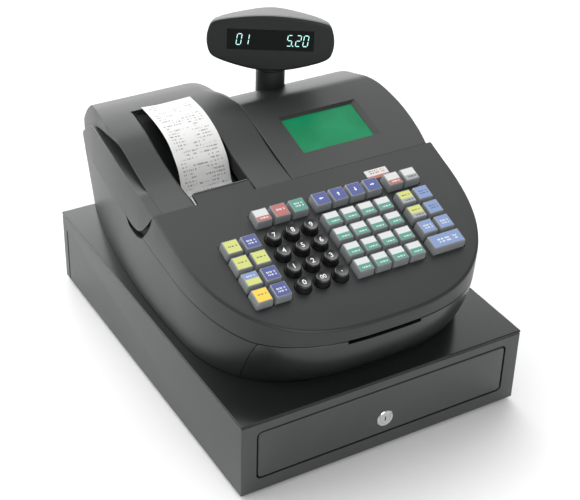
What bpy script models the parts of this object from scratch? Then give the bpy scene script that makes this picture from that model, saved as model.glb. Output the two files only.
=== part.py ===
"""Cash register: a steel drawer cabinet with a money tray, and a keyboard unit with a roll printer,
an operator display and a swivelling customer display standing on top of it.

Metres, +Z up, front of the machine towards -Y. The origin is on the surface that it stands on,
below the middle of the cabinet.
"""

import math

import bmesh
import bpy
from mathutils import Matrix, Vector

# Fits
GAP = 0.0003
WALL = 0.0025

# Cabinet and its drawer
CABINET_W = 0.332
CABINET_D = 0.4407
CABINET_H = 0.0884
STEEL = 0.0015
FOOT_H = 0.004
FOOT_R = 0.011
TOP = FOOT_H + CABINET_H
FRONT = -CABINET_D / 2
REAR = CABINET_D / 2
OPENING_W = 0.298
OPENING_LOW = FOOT_H + 0.0151
OPENING_HIGH = FOOT_H + 0.0751
OPENING_R = 0.006
PANEL_GAP = 0.002
PANEL_T = 0.0118
BOX_W = 0.282
BOX_BACK = 0.190
BOX_LOW = OPENING_LOW + 0.002
BOX_HIGH = 0.0740
RAIL_LOW, RAIL_HIGH = 0.034, 0.052
RAIL_SLOT = 0.0040
RUNNER_CLEARANCE = 0.0006
RUNNER_REACH = 0.0074
LOCK_Z = FOOT_H + 0.0351
LOCK_R = 0.0095
LOCK_BARREL_R = 0.0078

# Money tray
TRAY_W = 0.277
TRAY_FRONT, TRAY_BACK = -0.2035, 0.0570
TRAY_LOW, TRAY_HIGH = 0.0235, 0.0720
TRAY_T = 0.0025
TRAY_FLOOR = 0.0265
COINS = 5
COIN_BACK = -0.1180
BILLS = 4
CLIP_PIVOT_Y, CLIP_PIVOT_Z = 0.0485, 0.0650
CLIP_LENGTH = 0.1100
CLIP_SLOPE = math.radians(18)

# Casing outline, seen from above
SIDE_MAX = 0.1672
SIDE_CENTRE_Y = -0.02
SIDE_BOW = 0.55
NOSE_START = -0.06
NOSE_FRONT = -0.2195
NOSE_POWER_X, NOSE_POWER_Y = 2.9, 2.4
FOOTPRINT_INSET = 0.010
NOSE_UNDERCUT = 0.0255
CASE_BOTTOM = TOP + GAP
SEAM_Z = 0.151
SIDE_FULL_Z = 0.190
CASE_SKY = 0.300
SIDE_STEPS = 8
NOSE_STEPS = 13

# Casing profiles, seen from the side as (y, z)
PARTING = [(-0.176, SEAM_Z), (0.0, 0.187), (0.03, 0.190), (0.15, 0.190), (0.195, 0.181)]
HINGE_Y, HINGE_Z = 0.2165, 0.188
DECK_TILT = math.radians(18.5)
DECK_BACK_Y, DECK_BACK_Z = -0.037, 0.2272
DOME = [
    (-0.037, 0.2269), (0.007, 0.2375), (0.052, 0.2537), (0.074, 0.2601), (0.103, 0.2631),
    (0.126, 0.2628), (0.145, 0.2602), (0.161, 0.2544), (0.190, 0.2330), (0.2203, 0.2044),
]
PANEL_TILT = math.radians(16.46)
PANEL_RIDGE_Y = 0.076
PANEL_REAR = [(0.090, 0.2590), (0.110, 0.2540), (0.135, 0.2385), (0.165, 0.2160), (0.200, 0.1930)]
LEDGE = [(-0.006, 0.2345), (0.006, 0.2340), (0.048, 0.2379), (0.087, 0.2404), (0.145, 0.2360)]
CREASE_X = -0.157
TONGUE_Y, TONGUE_Z, TONGUE_R = 0.003, 0.2135, 0.0235
FINGER_R = 0.029
COVER_SPLIT_X = -0.008
COVER_OPENING = (-0.1185, -0.0505, -0.0232, 0.112)
TEAR_TAB = (-0.1175, -0.053, -0.0235)
FRONT_COVER_Y, FRONT_COVER_LEAN = -0.151, -0.485
CARD_SLOT = (-0.048, 0.036, 0.0040)

# Operator display
LCD_RECESS = (0.0225, 0.1190, -0.008, 0.047)
LCD_DEPTH = 0.0030
LCD_GLASS_T = 0.0020
LCD_MARGIN = 0.0020

# Printer, roll and receipt
ROLL_Y, ROLL_Z, ROLL_R, ROLL_CORE = 0.150, 0.2195, 0.0275, 0.006
PAPER_LEFT, PAPER_RIGHT = -0.110, -0.0525
PAPER_T = 0.0005
RECEIPT = [
    (-0.0100, 0.2072), (0.0000, 0.2073), (0.0090, 0.2086), (0.0146, 0.2130), (0.0178, 0.2220),
    (0.0222, 0.2330), (0.0305, 0.2425), (0.0480, 0.2552), (0.0770, 0.2636), (0.1100, 0.2655),
]
CHUTE_LEFT, CHUTE_RIGHT, CHUTE_T = -0.1165, -0.0518, 0.0015
CHUTE = [(0.0235, 0.2100), (0.0300, 0.2135), (0.0450, 0.2225), (0.0900, 0.2500), (0.1100, 0.2580)]
PLATEN_Y, PLATEN_Z, PLATEN_R = -0.012, 0.1990, 0.0050

# Customer display
POLE_X, POLE_Y, POLE_R = 0.0495, 0.114, 0.0163
POLE_TOP = 0.2780
POLE_BORE_R, POLE_BORE_DEPTH = 0.0110, 0.020
HEAD_YAW = math.radians(-31.6)
HEAD_TILT = math.radians(-8.6)
HEAD_Z = 0.3179
HEAD_FORWARD = 0.018
HEAD_HALF_W, HEAD_UP, HEAD_DOWN = 0.0695, 0.0238, 0.0378
HEAD_UP_BOW, HEAD_DOWN_BOW, HEAD_SIDE_BOW, HEAD_WIDEST_Z = 1.5, 2.9, 13.5, -0.004
HEAD_POWER = 14
HEAD_FACE_T = 0.0045
HEAD_DEPTH = 0.046
HEAD_WALL = 0.0030
HEAD_WINDOW_W, HEAD_WINDOW_H, HEAD_WINDOW_Z = 0.094, 0.0222, -0.0028
SPIGOT_R = 0.0106

# Keyboard, in the plane of the deck: x, and distance s down the slope from the deck's back edge
KEY_TRAVEL = 0.0025
KEY_UP = 0.009
KEY_DOWN = 0.0035
KEY_BASE, KEY_CROWN = 0.0188, 0.0150
STEM = 0.0030
BAR_W = 0.010
BOARD_DEPTH = KEY_DOWN + STEM + KEY_TRAVEL + 0.001
NUMBER_R, NUMBER_CROWN_R = 0.0086, 0.0068
HOLE_GAP = 0.0007
TOP_ROW_S = 0.0400
ROW_S = [0.0672, 0.0884, 0.1096, 0.1308]
LEFT_X = [-0.1140, -0.0933]
NUMBER_X = [-0.0669, -0.0457, -0.0245]
DEPARTMENT_X = [0.0009, 0.0214, 0.0419, 0.0624]
FUNCTION_X = [x + 0.0014 for x in DEPARTMENT_X]
RIGHT_X = [0.0902, 0.1109]
NUMBER_NAMES = ["7", "8", "9", "4", "5", "6", "1", "2", "3", "0", "00", "point"]

DECK = Matrix.Translation((0, DECK_BACK_Y, DECK_BACK_Z)) @ Matrix.Rotation(DECK_TILT, 4, "X")
PANEL = Matrix.Translation((0, DECK_BACK_Y, DECK_BACK_Z)) @ Matrix.Rotation(PANEL_TILT, 4, "X")
ALONG_X = Matrix(((0, 0, 1, 0), (1, 0, 0, 0), (0, 1, 0, 0), (0, 0, 0, 1)))


# ---------------------------------------------------------------- scene and materials

def clear_scene():
    for thing in list(bpy.data.objects):
        bpy.data.objects.remove(thing, do_unlink=True)


def new_collection(name):
    collection = bpy.data.collections.new(name)
    bpy.context.scene.collection.children.link(collection)
    return collection


clear_scene()
PARTS = new_collection("cash_register")
CUTTERS = new_collection("cutters")


def paint(thing, colour, roughness, metallic=0.0):
    """Gives the object a material of its own."""
    material = bpy.data.materials.new(thing.name + "_material")
    material.use_nodes = True
    shader = material.node_tree.nodes["Principled BSDF"]
    shader.inputs["Base Color"].default_value = (*colour, 1.0)
    shader.inputs["Roughness"].default_value = roughness
    shader.inputs["Metallic"].default_value = metallic
    thing.data.materials.clear()
    thing.data.materials.append(material)


BLACK_PLASTIC = ((0.035, 0.037, 0.039), 0.42)
BLACK_STEEL = ((0.030, 0.031, 0.033), 0.38)
GREY_PLASTIC = ((0.16, 0.17, 0.18), 0.5)
KEY_CLEAR = ((0.78, 0.80, 0.80), 0.25)
RUBBER = ((0.02, 0.02, 0.02), 0.8)
PAPER = ((0.88, 0.88, 0.86), 0.85)
CHROME = ((0.75, 0.76, 0.77), 0.15, 1.0)


# ---------------------------------------------------------------- modelling helpers

def add(name, mesh, collection, matrix=None):
    thing = bpy.data.objects.new(name, mesh)
    collection.objects.link(thing)
    if matrix is not None:
        thing.matrix_world = matrix
    return thing


def mesh_from(name, work):
    """Closes off a bmesh as mesh data with its faces pointing out."""
    bmesh.ops.recalc_face_normals(work, faces=work.faces)
    mesh = bpy.data.meshes.new(name)
    work.to_mesh(mesh)
    work.free()
    return mesh


def box(name, low, high, collection=None, matrix=None, bevel=0.0, bevel_axis=None):
    """A box between two corners. bevel rounds the four edges along bevel_axis."""
    low, high = Vector(low), Vector(high)
    size = high - low
    work = bmesh.new()
    place = Matrix.Translation((low + high) / 2) @ Matrix.Diagonal((*size, 1))
    bmesh.ops.create_cube(work, size=1.0, matrix=place)
    if bevel:
        runs = [(edge, edge.verts[0].co - edge.verts[1].co) for edge in work.edges]
        edges = [edge for edge, run in runs if abs(run[bevel_axis]) > size[bevel_axis] / 2]
        bmesh.ops.bevel(work, geom=edges, offset=bevel, segments=4, profile=0.5, affect="EDGES")
    return add(name, mesh_from(name, work), collection or CUTTERS, matrix)


def cylinder(name, radius, length, matrix, collection=None, sides=32, far_radius=None):
    """A cylinder, or a cone, from the matrix's origin along its +Z."""
    work = bmesh.new()
    bmesh.ops.create_cone(
        work, cap_ends=True, segments=sides, radius1=radius,
        radius2=radius if far_radius is None else far_radius, depth=length,
        matrix=Matrix.Translation((0, 0, length / 2)),
    )
    return add(name, mesh_from(name, work), collection or CUTTERS, matrix)


def extruded(name, outline, low, high, frame=ALONG_X, collection=None):
    """A flat outline as a filled curve, thick from low to high along the frame's Z, made a mesh."""
    curve = bpy.data.curves.new(name, "CURVE")
    curve.dimensions = "2D"
    curve.fill_mode = "BOTH"
    curve.extrude = (high - low) / 2
    spline = curve.splines.new("POLY")
    spline.points.add(len(outline) - 1)
    for point, (u, v) in zip(spline.points, outline):
        point.co = (u, v, 0, 1)
    spline.use_cyclic_u = True
    guide = add(name + "_curve", curve, CUTTERS)
    bpy.context.view_layer.update()
    graph = bpy.context.evaluated_depsgraph_get()
    mesh = bpy.data.meshes.new_from_object(guide.evaluated_get(graph))
    bpy.data.objects.remove(guide, do_unlink=True)
    work = bmesh.new()
    work.from_mesh(mesh)
    bpy.data.meshes.remove(mesh)
    bmesh.ops.remove_doubles(work, verts=work.verts, dist=1e-6)
    bmesh.ops.dissolve_limit(work, angle_limit=0.001, verts=work.verts, edges=work.edges)
    bmesh.ops.translate(work, verts=work.verts, vec=(0, 0, (low + high) / 2))
    return add(name, mesh_from(name, work), collection or CUTTERS, frame)


def loft(name, rings, collection=None, matrix=None):
    """Closed rings of equal length joined side by side, with the first and last filled."""
    work = bmesh.new()
    loops = [[work.verts.new(point) for point in ring] for ring in rings]
    count = len(rings[0])
    for lower, upper in zip(loops, loops[1:]):
        for i in range(count):
            j = (i + 1) % count
            work.faces.new((lower[i], lower[j], upper[j], upper[i]))
    work.faces.new(loops[0])
    work.faces.new(loops[-1])
    return add(name, mesh_from(name, work), collection or CUTTERS, matrix)


def turned(name, profile, collection, matrix, sides=32):
    """A profile of (radius, z) from its top down, turned round Z with a Screw modifier."""
    mesh = bpy.data.meshes.new(name)
    edges = [(i, i + 1) for i in range(len(profile) - 1)]
    mesh.from_pydata([(radius, 0, z) for radius, z in profile], edges, [])
    thing = add(name, mesh, collection, matrix)
    screw = thing.modifiers.new("Screw", "SCREW")
    screw.steps = screw.render_steps = sides
    screw.use_merge_vertices = True
    screw.merge_threshold = 1e-5
    return thing


def boolean(thing, other, operation="DIFFERENCE"):
    modifier = thing.modifiers.new(operation.title() + "_" + other.name, "BOOLEAN")
    modifier.operation = operation
    modifier.object = other
    modifier.solver = "EXACT"
    return thing


def hide_cutters():
    for cutter in CUTTERS.objects:
        cutter.hide_render = True
        cutter.display_type = "WIRE"


def smooth_line(points, steps=4):
    """Points along a Catmull-Rom curve through the given ones."""
    line = []
    last = len(points) - 1
    for i in range(last):
        p0, p1, p2, p3 = (Vector(points[min(max(k, 0), last)]) for k in (i - 1, i, i + 1, i + 2))
        for step in range(steps):
            t = step / steps
            line.append(tuple(0.5 * (
                2 * p1 + (p2 - p0) * t + (2 * p0 - 5 * p1 + 4 * p2 - p3) * t * t
                + (3 * p1 - p0 - 3 * p2 + p3) * t ** 3
            )))
    line.append(tuple(points[-1]))
    return line


def strip_outline(line, thickness):
    """The outline of a sheet of even thickness whose upper face is the line."""
    under = []
    for i, (y, z) in enumerate(line):
        ahead, behind = Vector(line[min(i + 1, len(line) - 1)]), Vector(line[max(i - 1, 0)])
        run = (ahead - behind).normalized()
        under.append((y + run.y * thickness, z - run.x * thickness))
    return list(line) + under[::-1]


def arc(centre_y, centre_z, radius, start, stop, steps):
    """Points on a circle seen from the side, by angle in degrees from +Y towards +Z."""
    angles = [math.radians(start + (stop - start) * i / steps) for i in range(steps + 1)]
    return [(centre_y + radius * math.cos(a), centre_z + radius * math.sin(a)) for a in angles]


def move_origin(thing, point):
    """Puts the object's origin on its joint's axis without moving its shape."""
    inverse = Matrix.Translation(-Vector(point))
    thing.data.transform(inverse @ thing.matrix_world)
    thing.matrix_world = Matrix.Translation(point)


# ---------------------------------------------------------------- casing outline and profiles

def side_x(y):
    return SIDE_MAX - SIDE_BOW * (y - SIDE_CENTRE_Y) ** 2


def outline(z, inset=0.0):
    """The casing's outline at a height, as points that run round from the rear right corner."""
    side_inset = inset + FOOTPRINT_INSET * max(0.0, (SIDE_FULL_Z - z) / (SIDE_FULL_Z - TOP))
    front = NOSE_FRONT + inset + NOSE_UNDERCUT * max(0.0, (SEAM_Z - z) / (SEAM_Z - TOP))
    rear = REAR - inset
    half = []
    for i in range(SIDE_STEPS + 1):
        y = rear + (NOSE_START - rear) * i / SIDE_STEPS
        half.append((side_x(y) - side_inset, y))
    reach_x, reach_y = half[-1][0], NOSE_START - front
    for i in range(1, NOSE_STEPS):
        turn = math.pi / 2 * i / NOSE_STEPS
        x = reach_x * math.cos(turn) ** (2 / NOSE_POWER_X)
        half.append((x, NOSE_START - reach_y * math.sin(turn) ** (2 / NOSE_POWER_Y)))
    right = [(x, y, z) for x, y in half]
    left = [(-x, y, z) for x, y in reversed(half)]
    return right + [(0, front, z)] + left


def casing(name, low, high, inset=0.0):
    """The casing's full outer form between two heights, or its inner form when inset."""
    levels = [low] + [z for z in (SEAM_Z, SIDE_FULL_Z) if low < z < high] + [high]
    return loft(name, [outline(z, inset) for z in levels])


def deck_z(y, down=0.0):
    return DECK_BACK_Z + math.tan(DECK_TILT) * (y - DECK_BACK_Y) - down / math.cos(DECK_TILT)


def panel_z(y, down=0.0):
    return DECK_BACK_Z + math.tan(PANEL_TILT) * (y - DECK_BACK_Y) - down / math.cos(PANEL_TILT)


def dome_line(down=0.0):
    """The printer cover's top from front to back, lowered by a wall's thickness when asked."""
    return [(y, z - down) for y, z in smooth_line(DOME, 2)]


def panel_line(down=0.0):
    ridge = [(DECK_BACK_Y, panel_z(DECK_BACK_Y, down)), (PANEL_RIDGE_Y, panel_z(PANEL_RIDGE_Y, down))]
    return ridge + [(y, z - down) for y, z in PANEL_REAR + [(REAR, 0.1815)]]


def sky(name, line, left, right):
    """Everything above a side profile, between two x values."""
    first, last = line[0], line[-1]
    ends = [(last[0] + 0.03, last[1]), (last[0] + 0.03, CASE_SKY + 0.05)]
    start = [(first[0] - 0.03, CASE_SKY + 0.05), (first[0] - 0.03, first[1])]
    return extruded(name, start + line + ends, left, right)


def ground(name, line, left=-0.2, right=0.2):
    """Everything below a side profile, between two x values."""
    first, last = line[0], line[-1]
    ends = [(last[0] + 0.05, last[1]), (last[0] + 0.05, 0.0)]
    start = [(first[0] - 0.08, 0.0), (first[0] - 0.08, first[1])]
    return extruded(name, start + line + ends, left, right)


# ---------------------------------------------------------------- cabinet and drawer

def make_cabinet():
    low = (-CABINET_W / 2, FRONT, FOOT_H)
    high = (CABINET_W / 2, REAR, TOP)
    cabinet = box("cabinet", low, high, PARTS, bevel=0.0015, bevel_axis=1)
    inside = box(
        "cabinet_inside",
        (low[0] + STEEL, FRONT + STEEL, FOOT_H + STEEL),
        (high[0] - STEEL, REAR - STEEL, TOP - STEEL),
    )
    mouth = box(
        "cabinet_mouth",
        (-OPENING_W / 2, FRONT - 0.01, OPENING_LOW),
        (OPENING_W / 2, FRONT + 0.01, OPENING_HIGH),
        bevel=OPENING_R, bevel_axis=1,
    )
    boolean(cabinet, inside)
    boolean(cabinet, mouth)
    paint(cabinet, *BLACK_STEEL)
    # A C channel welded inside each wall carries a drawer runner.
    for side, sign in (("left", -1), ("right", 1)):
        outer = CABINET_W / 2 - STEEL
        xs = sorted((sign * (BOX_W / 2 + 0.0045), sign * (outer + 0.0005)))
        rail = box("rail_" + side, (xs[0], FRONT + 0.012, RAIL_LOW), (xs[1], REAR - 0.012, RAIL_HIGH))
        slot_xs = sorted((sign * (BOX_W / 2), sign * (outer - 0.004)))
        slot = box(
            "rail_slot_" + side,
            (slot_xs[0], FRONT, RAIL_LOW + RAIL_SLOT), (slot_xs[1], REAR, RAIL_HIGH - RAIL_SLOT),
        )
        boolean(rail, slot)
        boolean(cabinet, rail, "UNION")


def make_feet():
    for end, y in (("front", FRONT + 0.026), ("rear", REAR - 0.026)):
        for side, x in (("left", -0.140), ("right", 0.140)):
            foot = cylinder(
                "foot_%s_%s" % (end, side), FOOT_R, FOOT_H - GAP, Matrix.Translation((x, y, 0)),
                PARTS, 20, FOOT_R * 0.86,
            )
            paint(foot, *RUBBER)


def make_drawer():
    half, front_y = BOX_W / 2, FRONT + PANEL_T + GAP
    tray = box("drawer_box", (-half, front_y, BOX_LOW), (half, BOX_BACK, BOX_HIGH), PARTS)
    hollow = box(
        "drawer_hollow",
        (-half + STEEL, front_y + STEEL, BOX_LOW + STEEL), (half - STEEL, BOX_BACK - STEEL, BOX_HIGH + 0.02),
    )
    for side in (-1, 1):
        xs = sorted((side * (half - 0.0005), side * (half + RUNNER_REACH)))
        runner = box(
            "runner_%d" % side,
            (xs[0], front_y + 0.004, RAIL_LOW + RAIL_SLOT + RUNNER_CLEARANCE),
            (xs[1], BOX_BACK, RAIL_HIGH - RAIL_SLOT - RUNNER_CLEARANCE),
        )
        boolean(tray, runner, "UNION")
    boolean(tray, hollow)
    paint(tray, (0.10, 0.105, 0.11), 0.4, 0.6)

    x = OPENING_W / 2 - PANEL_GAP
    panel = box(
        "drawer_front", (-x, FRONT, OPENING_LOW + PANEL_GAP), (x, FRONT + PANEL_T, OPENING_HIGH - PANEL_GAP),
        PARTS, bevel=OPENING_R - PANEL_GAP, bevel_axis=1,
    )
    back = box(
        "drawer_front_back",
        (-x + STEEL, FRONT + STEEL, OPENING_LOW + PANEL_GAP + STEEL),
        (x - STEEL, FRONT + PANEL_T + 0.01, OPENING_HIGH - PANEL_GAP - STEEL),
    )
    into = Matrix.Translation((0, FRONT - 0.005, LOCK_Z)) @ Matrix.Rotation(-math.pi / 2, 4, "X")
    hole = cylinder("lock_hole", LOCK_BARREL_R + 0.0002, 0.02, into, sides=28)
    boolean(panel, back)
    boolean(panel, hole)
    paint(panel, *BLACK_STEEL)


def make_lock():
    """A cylinder lock: flanged face, barrel and cam in one piece, turning about its own axis."""
    face_y = FRONT - GAP - 0.0012
    at = Matrix.Translation((0, face_y, LOCK_Z)) @ Matrix.Rotation(-math.pi / 2, 4, "X")
    lock = cylinder("drawer_lock", LOCK_R, 0.0012, at, PARTS, 28)
    barrel = cylinder("lock_barrel", LOCK_BARREL_R, 0.0105, at @ Matrix.Translation((0, 0, 0.0005)), sides=28)
    cam = box("lock_cam", (-0.004, face_y + 0.0085, LOCK_Z - 0.004), (0.004, face_y + 0.0105, LOCK_Z + 0.022))
    keyhole = box(
        "keyhole", (-0.0006, face_y - 0.001, LOCK_Z - 0.0032), (0.0006, face_y + 0.006, LOCK_Z + 0.0032)
    )
    boolean(lock, barrel, "UNION")
    boolean(lock, cam, "UNION")
    boolean(lock, keyhole)
    paint(lock, *CHROME)


def spans(low, high, count, wall):
    """The two ends of each of count equal spaces with a wall between and outside them."""
    width = (high - low - wall * (count + 1)) / count
    return [(low + wall + i * (width + wall), low + wall + i * (width + wall) + width) for i in range(count)]


def make_money_tray():
    tray = box("money_tray", (-TRAY_W / 2, TRAY_FRONT, TRAY_LOW), (TRAY_W / 2, TRAY_BACK, TRAY_HIGH), PARTS)
    bill_front = COIN_BACK + TRAY_T
    for i, (left, right) in enumerate(spans(-TRAY_W / 2, TRAY_W / 2, COINS, TRAY_T)):
        cup = box(
            "coin_cup_%d" % (i + 1), (left, TRAY_FRONT + TRAY_T, TRAY_FLOOR), (right, COIN_BACK, 0.09),
            bevel=0.010, bevel_axis=0,
        )
        boolean(tray, cup)
    for i, (left, right) in enumerate(spans(-TRAY_W / 2, TRAY_W / 2, BILLS, TRAY_T)):
        slot_name = "bill_slot_%d" % (i + 1)
        slot = box(slot_name, (left, bill_front, TRAY_FLOOR), (right, TRAY_BACK - TRAY_T, 0.09))
        boolean(tray, slot)
        make_bill_clip(i + 1, (left + right) / 2, right - left)
    paint(tray, *GREY_PLASTIC)


def make_bill_clip(number, x, width):
    """A hold-down arm on a pivot bar at the back of a bill compartment."""
    half = width / 2 - 0.0008
    across = Matrix.Translation((x - half, CLIP_PIVOT_Y, CLIP_PIVOT_Z)) @ Matrix.Rotation(math.pi / 2, 4, "Y")
    clip = cylinder("bill_clip_%d" % number, 0.0030, 2 * half, across, PARTS, 14)
    lean = Matrix.Translation((x, CLIP_PIVOT_Y, CLIP_PIVOT_Z)) @ Matrix.Rotation(CLIP_SLOPE, 4, "X")
    arm = box("clip_arm_%d" % number, (-0.007, -CLIP_LENGTH, -0.0011), (0.007, 0.0, 0.0011), matrix=lean)
    pad = box(
        "clip_pad_%d" % number,
        (-0.016, -CLIP_LENGTH - 0.001, -0.0018), (0.016, -CLIP_LENGTH + 0.010, 0.0018), matrix=lean,
    )
    boolean(clip, arm, "UNION")
    boolean(clip, pad, "UNION")
    move_origin(clip, (x, CLIP_PIVOT_Y, CLIP_PIVOT_Z))
    paint(clip, (0.60, 0.61, 0.62), 0.3, 0.9)


# ---------------------------------------------------------------- lower casing

def front_cover_region(gap):
    """The side profile of what belongs to the front cover, pulled forward by a gap."""
    foot_y = FRONT_COVER_Y - gap
    lift = SEAM_Z + 0.02 - CASE_BOTTOM
    return [
        (-0.26, CASE_BOTTOM - 0.02), (foot_y - FRONT_COVER_LEAN * 0.02, CASE_BOTTOM - 0.02),
        (foot_y + FRONT_COVER_LEAN * lift, SEAM_Z + 0.02), (-0.26, SEAM_Z + 0.02),
    ]


def above_parting(name, gap, dip=0.0):
    """Everything above the side parting line. dip frees the path of the printer cover's hinge end."""
    line = [(y, z + gap) for y, z in PARTING]
    line = [(-0.26, SEAM_Z + gap)] + line + [(0.200, 0.180 - dip + gap), (0.25, 0.180 - dip + gap)]
    return sky(name, line, -0.2, 0.2)


def make_base_case():
    case = casing("base_case_form", CASE_BOTTOM, 0.2)
    case.name = "base_case"
    CUTTERS.objects.unlink(case)
    PARTS.objects.link(case)
    boolean(case, above_parting("base_case_top", -GAP / 2, 0.003))
    boolean(case, extruded("front_cover_share", front_cover_region(0.0), -0.2, 0.2))
    boolean(case, casing("base_case_hollow", CASE_BOTTOM + WALL, 0.25, WALL))
    cable = Matrix.Translation((0.110, REAR - 0.02, 0.125)) @ Matrix.Rotation(-math.pi / 2, 4, "X")
    boolean(case, cylinder("cord_hole", 0.0062, 0.04, cable, sides=20))
    paint(case, *BLACK_PLASTIC)


def make_front_cover():
    cover = casing("front_cover_form", CASE_BOTTOM, 0.2)
    cover.name = "front_cover"
    CUTTERS.objects.unlink(cover)
    PARTS.objects.link(cover)
    boolean(cover, above_parting("front_cover_top", -GAP / 2))
    boolean(cover, extruded("front_cover_part", front_cover_region(GAP), -0.2, 0.2), "INTERSECT")
    boolean(cover, casing("front_cover_hollow", CASE_BOTTOM + WALL, 0.25, WALL))
    left, right, height = CARD_SLOT
    boolean(cover, box("card_slot", (left, -0.25, SEAM_Z - height), (right, -0.19, SEAM_Z + 0.01)))
    paint(cover, (0.020, 0.021, 0.023), 0.18)


def make_cord_gland():
    """A grommet in the rear wall, where the supply lead comes out."""
    at = Matrix.Translation((0.110, REAR + 0.0012, 0.125)) @ Matrix.Rotation(math.pi / 2, 4, "X")
    gland = turned(
        "cord_gland",
        [(0.0035, 0.0065), (0.0058, 0.0065), (0.0058, 0.0009), (0.0080, 0.0009), (0.0080, 0.0),
         (0.0035, 0.0), (0.0035, 0.0065)],
        PARTS, at, 20,
    )
    paint(gland, *RUBBER)


def make_main_board():
    low = CASE_BOTTOM + WALL + 0.0003
    board = box("main_board", (-0.105, -0.100, low + 0.008), (0.020, 0.060, low + 0.0096), PARTS)
    for x in (-0.098, 0.013):
        for y in (-0.093, 0.053):
            peg = cylinder("board_peg", 0.003, 0.0085, Matrix.Translation((x, y, low)), sides=12)
            boolean(board, peg, "UNION")
    block = box("board_heatsink", (-0.040, -0.030, low + 0.009), (-0.010, 0.030, low + 0.024))
    boolean(board, block, "UNION")
    paint(board, (0.03, 0.16, 0.08), 0.5)


# ---------------------------------------------------------------- upper casing and covers

def make_upper_case():
    case = casing("upper_case_form", 0.140, CASE_SKY)
    case.name = "upper_case"
    CUTTERS.objects.unlink(case)
    PARTS.objects.link(case)
    deck_line = [(-0.24, deck_z(-0.24)), (0.0, deck_z(0.0))]
    inner_line = [(-0.24, deck_z(-0.24, WALL)), (0.02, deck_z(0.02, WALL))]
    boolean(case, sky("above_deck", deck_line, -0.2, 0.2))
    below = [(-0.26, SEAM_Z + GAP / 2)] + [(y, z + GAP / 2) for y, z in PARTING]
    boolean(case, ground("below_upper_case", below))

    # Behind the deck's back edge only the left wall goes on, round the printer cover's tongue.
    finger = arc(TONGUE_Y, TONGUE_Z, FINGER_R, 162, 255, 8)
    left_share = [(DECK_BACK_Y, 0.34), (DECK_BACK_Y, 0.2225)] + finger
    left_share += [(0.02, 0.15), (0.25, 0.15), (0.25, 0.34)]
    behind_left = extruded("behind_deck_left", left_share, -0.2, COVER_SPLIT_X)
    tab_left, tab_right, tab_back = TEAR_TAB
    boolean(behind_left, box("tear_tab", (tab_left, -0.05, 0.19), (tab_right, tab_back, 0.34)))
    boolean(case, behind_left)
    boolean(case, box("behind_deck_right", (COVER_SPLIT_X - 0.001, DECK_BACK_Y, 0.1), (0.2, 0.25, 0.34)))
    inside = casing("upper_case_hollow", 0.12, CASE_SKY, WALL)
    boolean(inside, sky("above_deck_inside", inner_line, -0.2, 0.2))
    boolean(case, inside)
    for hole in key_holes():
        boolean(case, hole)
    paint(case, *BLACK_PLASTIC)


def cover_form(name, top_line, left, right, floor_line):
    """A rear cover: the casing between two x values, under its top line and above its floor line."""
    cover = casing(name + "_form", 0.160, CASE_SKY)
    cover.name = name
    CUTTERS.objects.unlink(cover)
    PARTS.objects.link(cover)
    share = box(name + "_share", (left, DECK_BACK_Y + GAP, 0.1), (right, 0.3, 0.4))
    boolean(cover, share, "INTERSECT")
    boolean(cover, sky(name + "_sky", top_line(0.0), -0.2, 0.2))
    boolean(cover, ground(name + "_ground", floor_line))
    inside = casing(name + "_hollow", 0.14, CASE_SKY, WALL)
    inner_share = box(name + "_hollow_share", (left + WALL, -0.3, 0.1), (right - WALL, 0.3, 0.4))
    boolean(inside, inner_share, "INTERSECT")
    boolean(inside, sky(name + "_hollow_sky", top_line(WALL), -0.2, 0.2))
    return cover, inside


def make_printer_cover():
    tongue = arc(TONGUE_Y, TONGUE_Z, TONGUE_R, 160, 270, 8)
    floor_line = [(-0.05, 0.2230), (-0.0215, 0.2230)] + tongue + [
        (y, z + GAP / 2) for y, z in PARTING[3:]] + [(0.200, 0.180), (0.25, 0.180)]
    cover, inside = cover_form("printer_cover", dome_line, -0.2, COVER_SPLIT_X - GAP, floor_line)

    # The dome is narrower than the flank: above the flank's top line a step runs back from the deck.
    ledge = smooth_line(LEDGE, 2) + [(0.180, 0.2180), (0.25, 0.170)]
    step = sky("cover_ledge", ledge, -0.2, CREASE_X)
    step_inside = sky("cover_ledge_inside", [(y, z - WALL) for y, z in ledge], -0.2, CREASE_X + WALL)
    boolean(inside, step_inside)
    boolean(cover, step)
    boolean(cover, inside)
    left, right, front, back = COVER_OPENING
    boolean(cover, box("receipt_opening", (left, front - 0.03, 0.16), (right, back, 0.34)))
    move_origin(cover, (0, HINGE_Y, HINGE_Z))
    paint(cover, *BLACK_PLASTIC)


def make_display_cover():
    floor_line = [(-0.05, 0.1773)] + [(y, z + GAP / 2) for y, z in PARTING[1:]] + [(0.25, 0.1795)]
    cover, inside = cover_form("display_cover", panel_line, COVER_SPLIT_X, 0.2, floor_line)
    boolean(cover, inside)
    left, right, front, back = LCD_RECESS
    slope = math.cos(PANEL_TILT)
    recess = box(
        "lcd_recess",
        (left, (front - DECK_BACK_Y) / slope, -0.02), (right, (back - DECK_BACK_Y) / slope, 0.02),
        matrix=PANEL,
    )
    boolean(cover, recess)
    boolean(cover, cylinder("pole_hole", POLE_R + 0.0004, 0.2, Matrix.Translation((POLE_X, POLE_Y, 0.15))))
    paint(cover, *BLACK_PLASTIC)

    # The glass sits under the panel, in a frame a little larger than the window.
    glass = box(
        "lcd_glass",
        (left - LCD_MARGIN, (front - DECK_BACK_Y) / slope - LCD_MARGIN, -LCD_DEPTH - LCD_GLASS_T),
        (right + LCD_MARGIN, (back - DECK_BACK_Y) / slope + LCD_MARGIN, -LCD_DEPTH),
        PARTS, PANEL,
    )
    paint(glass, (0.03, 0.75, 0.38), 0.2)


# ---------------------------------------------------------------- printer

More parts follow.
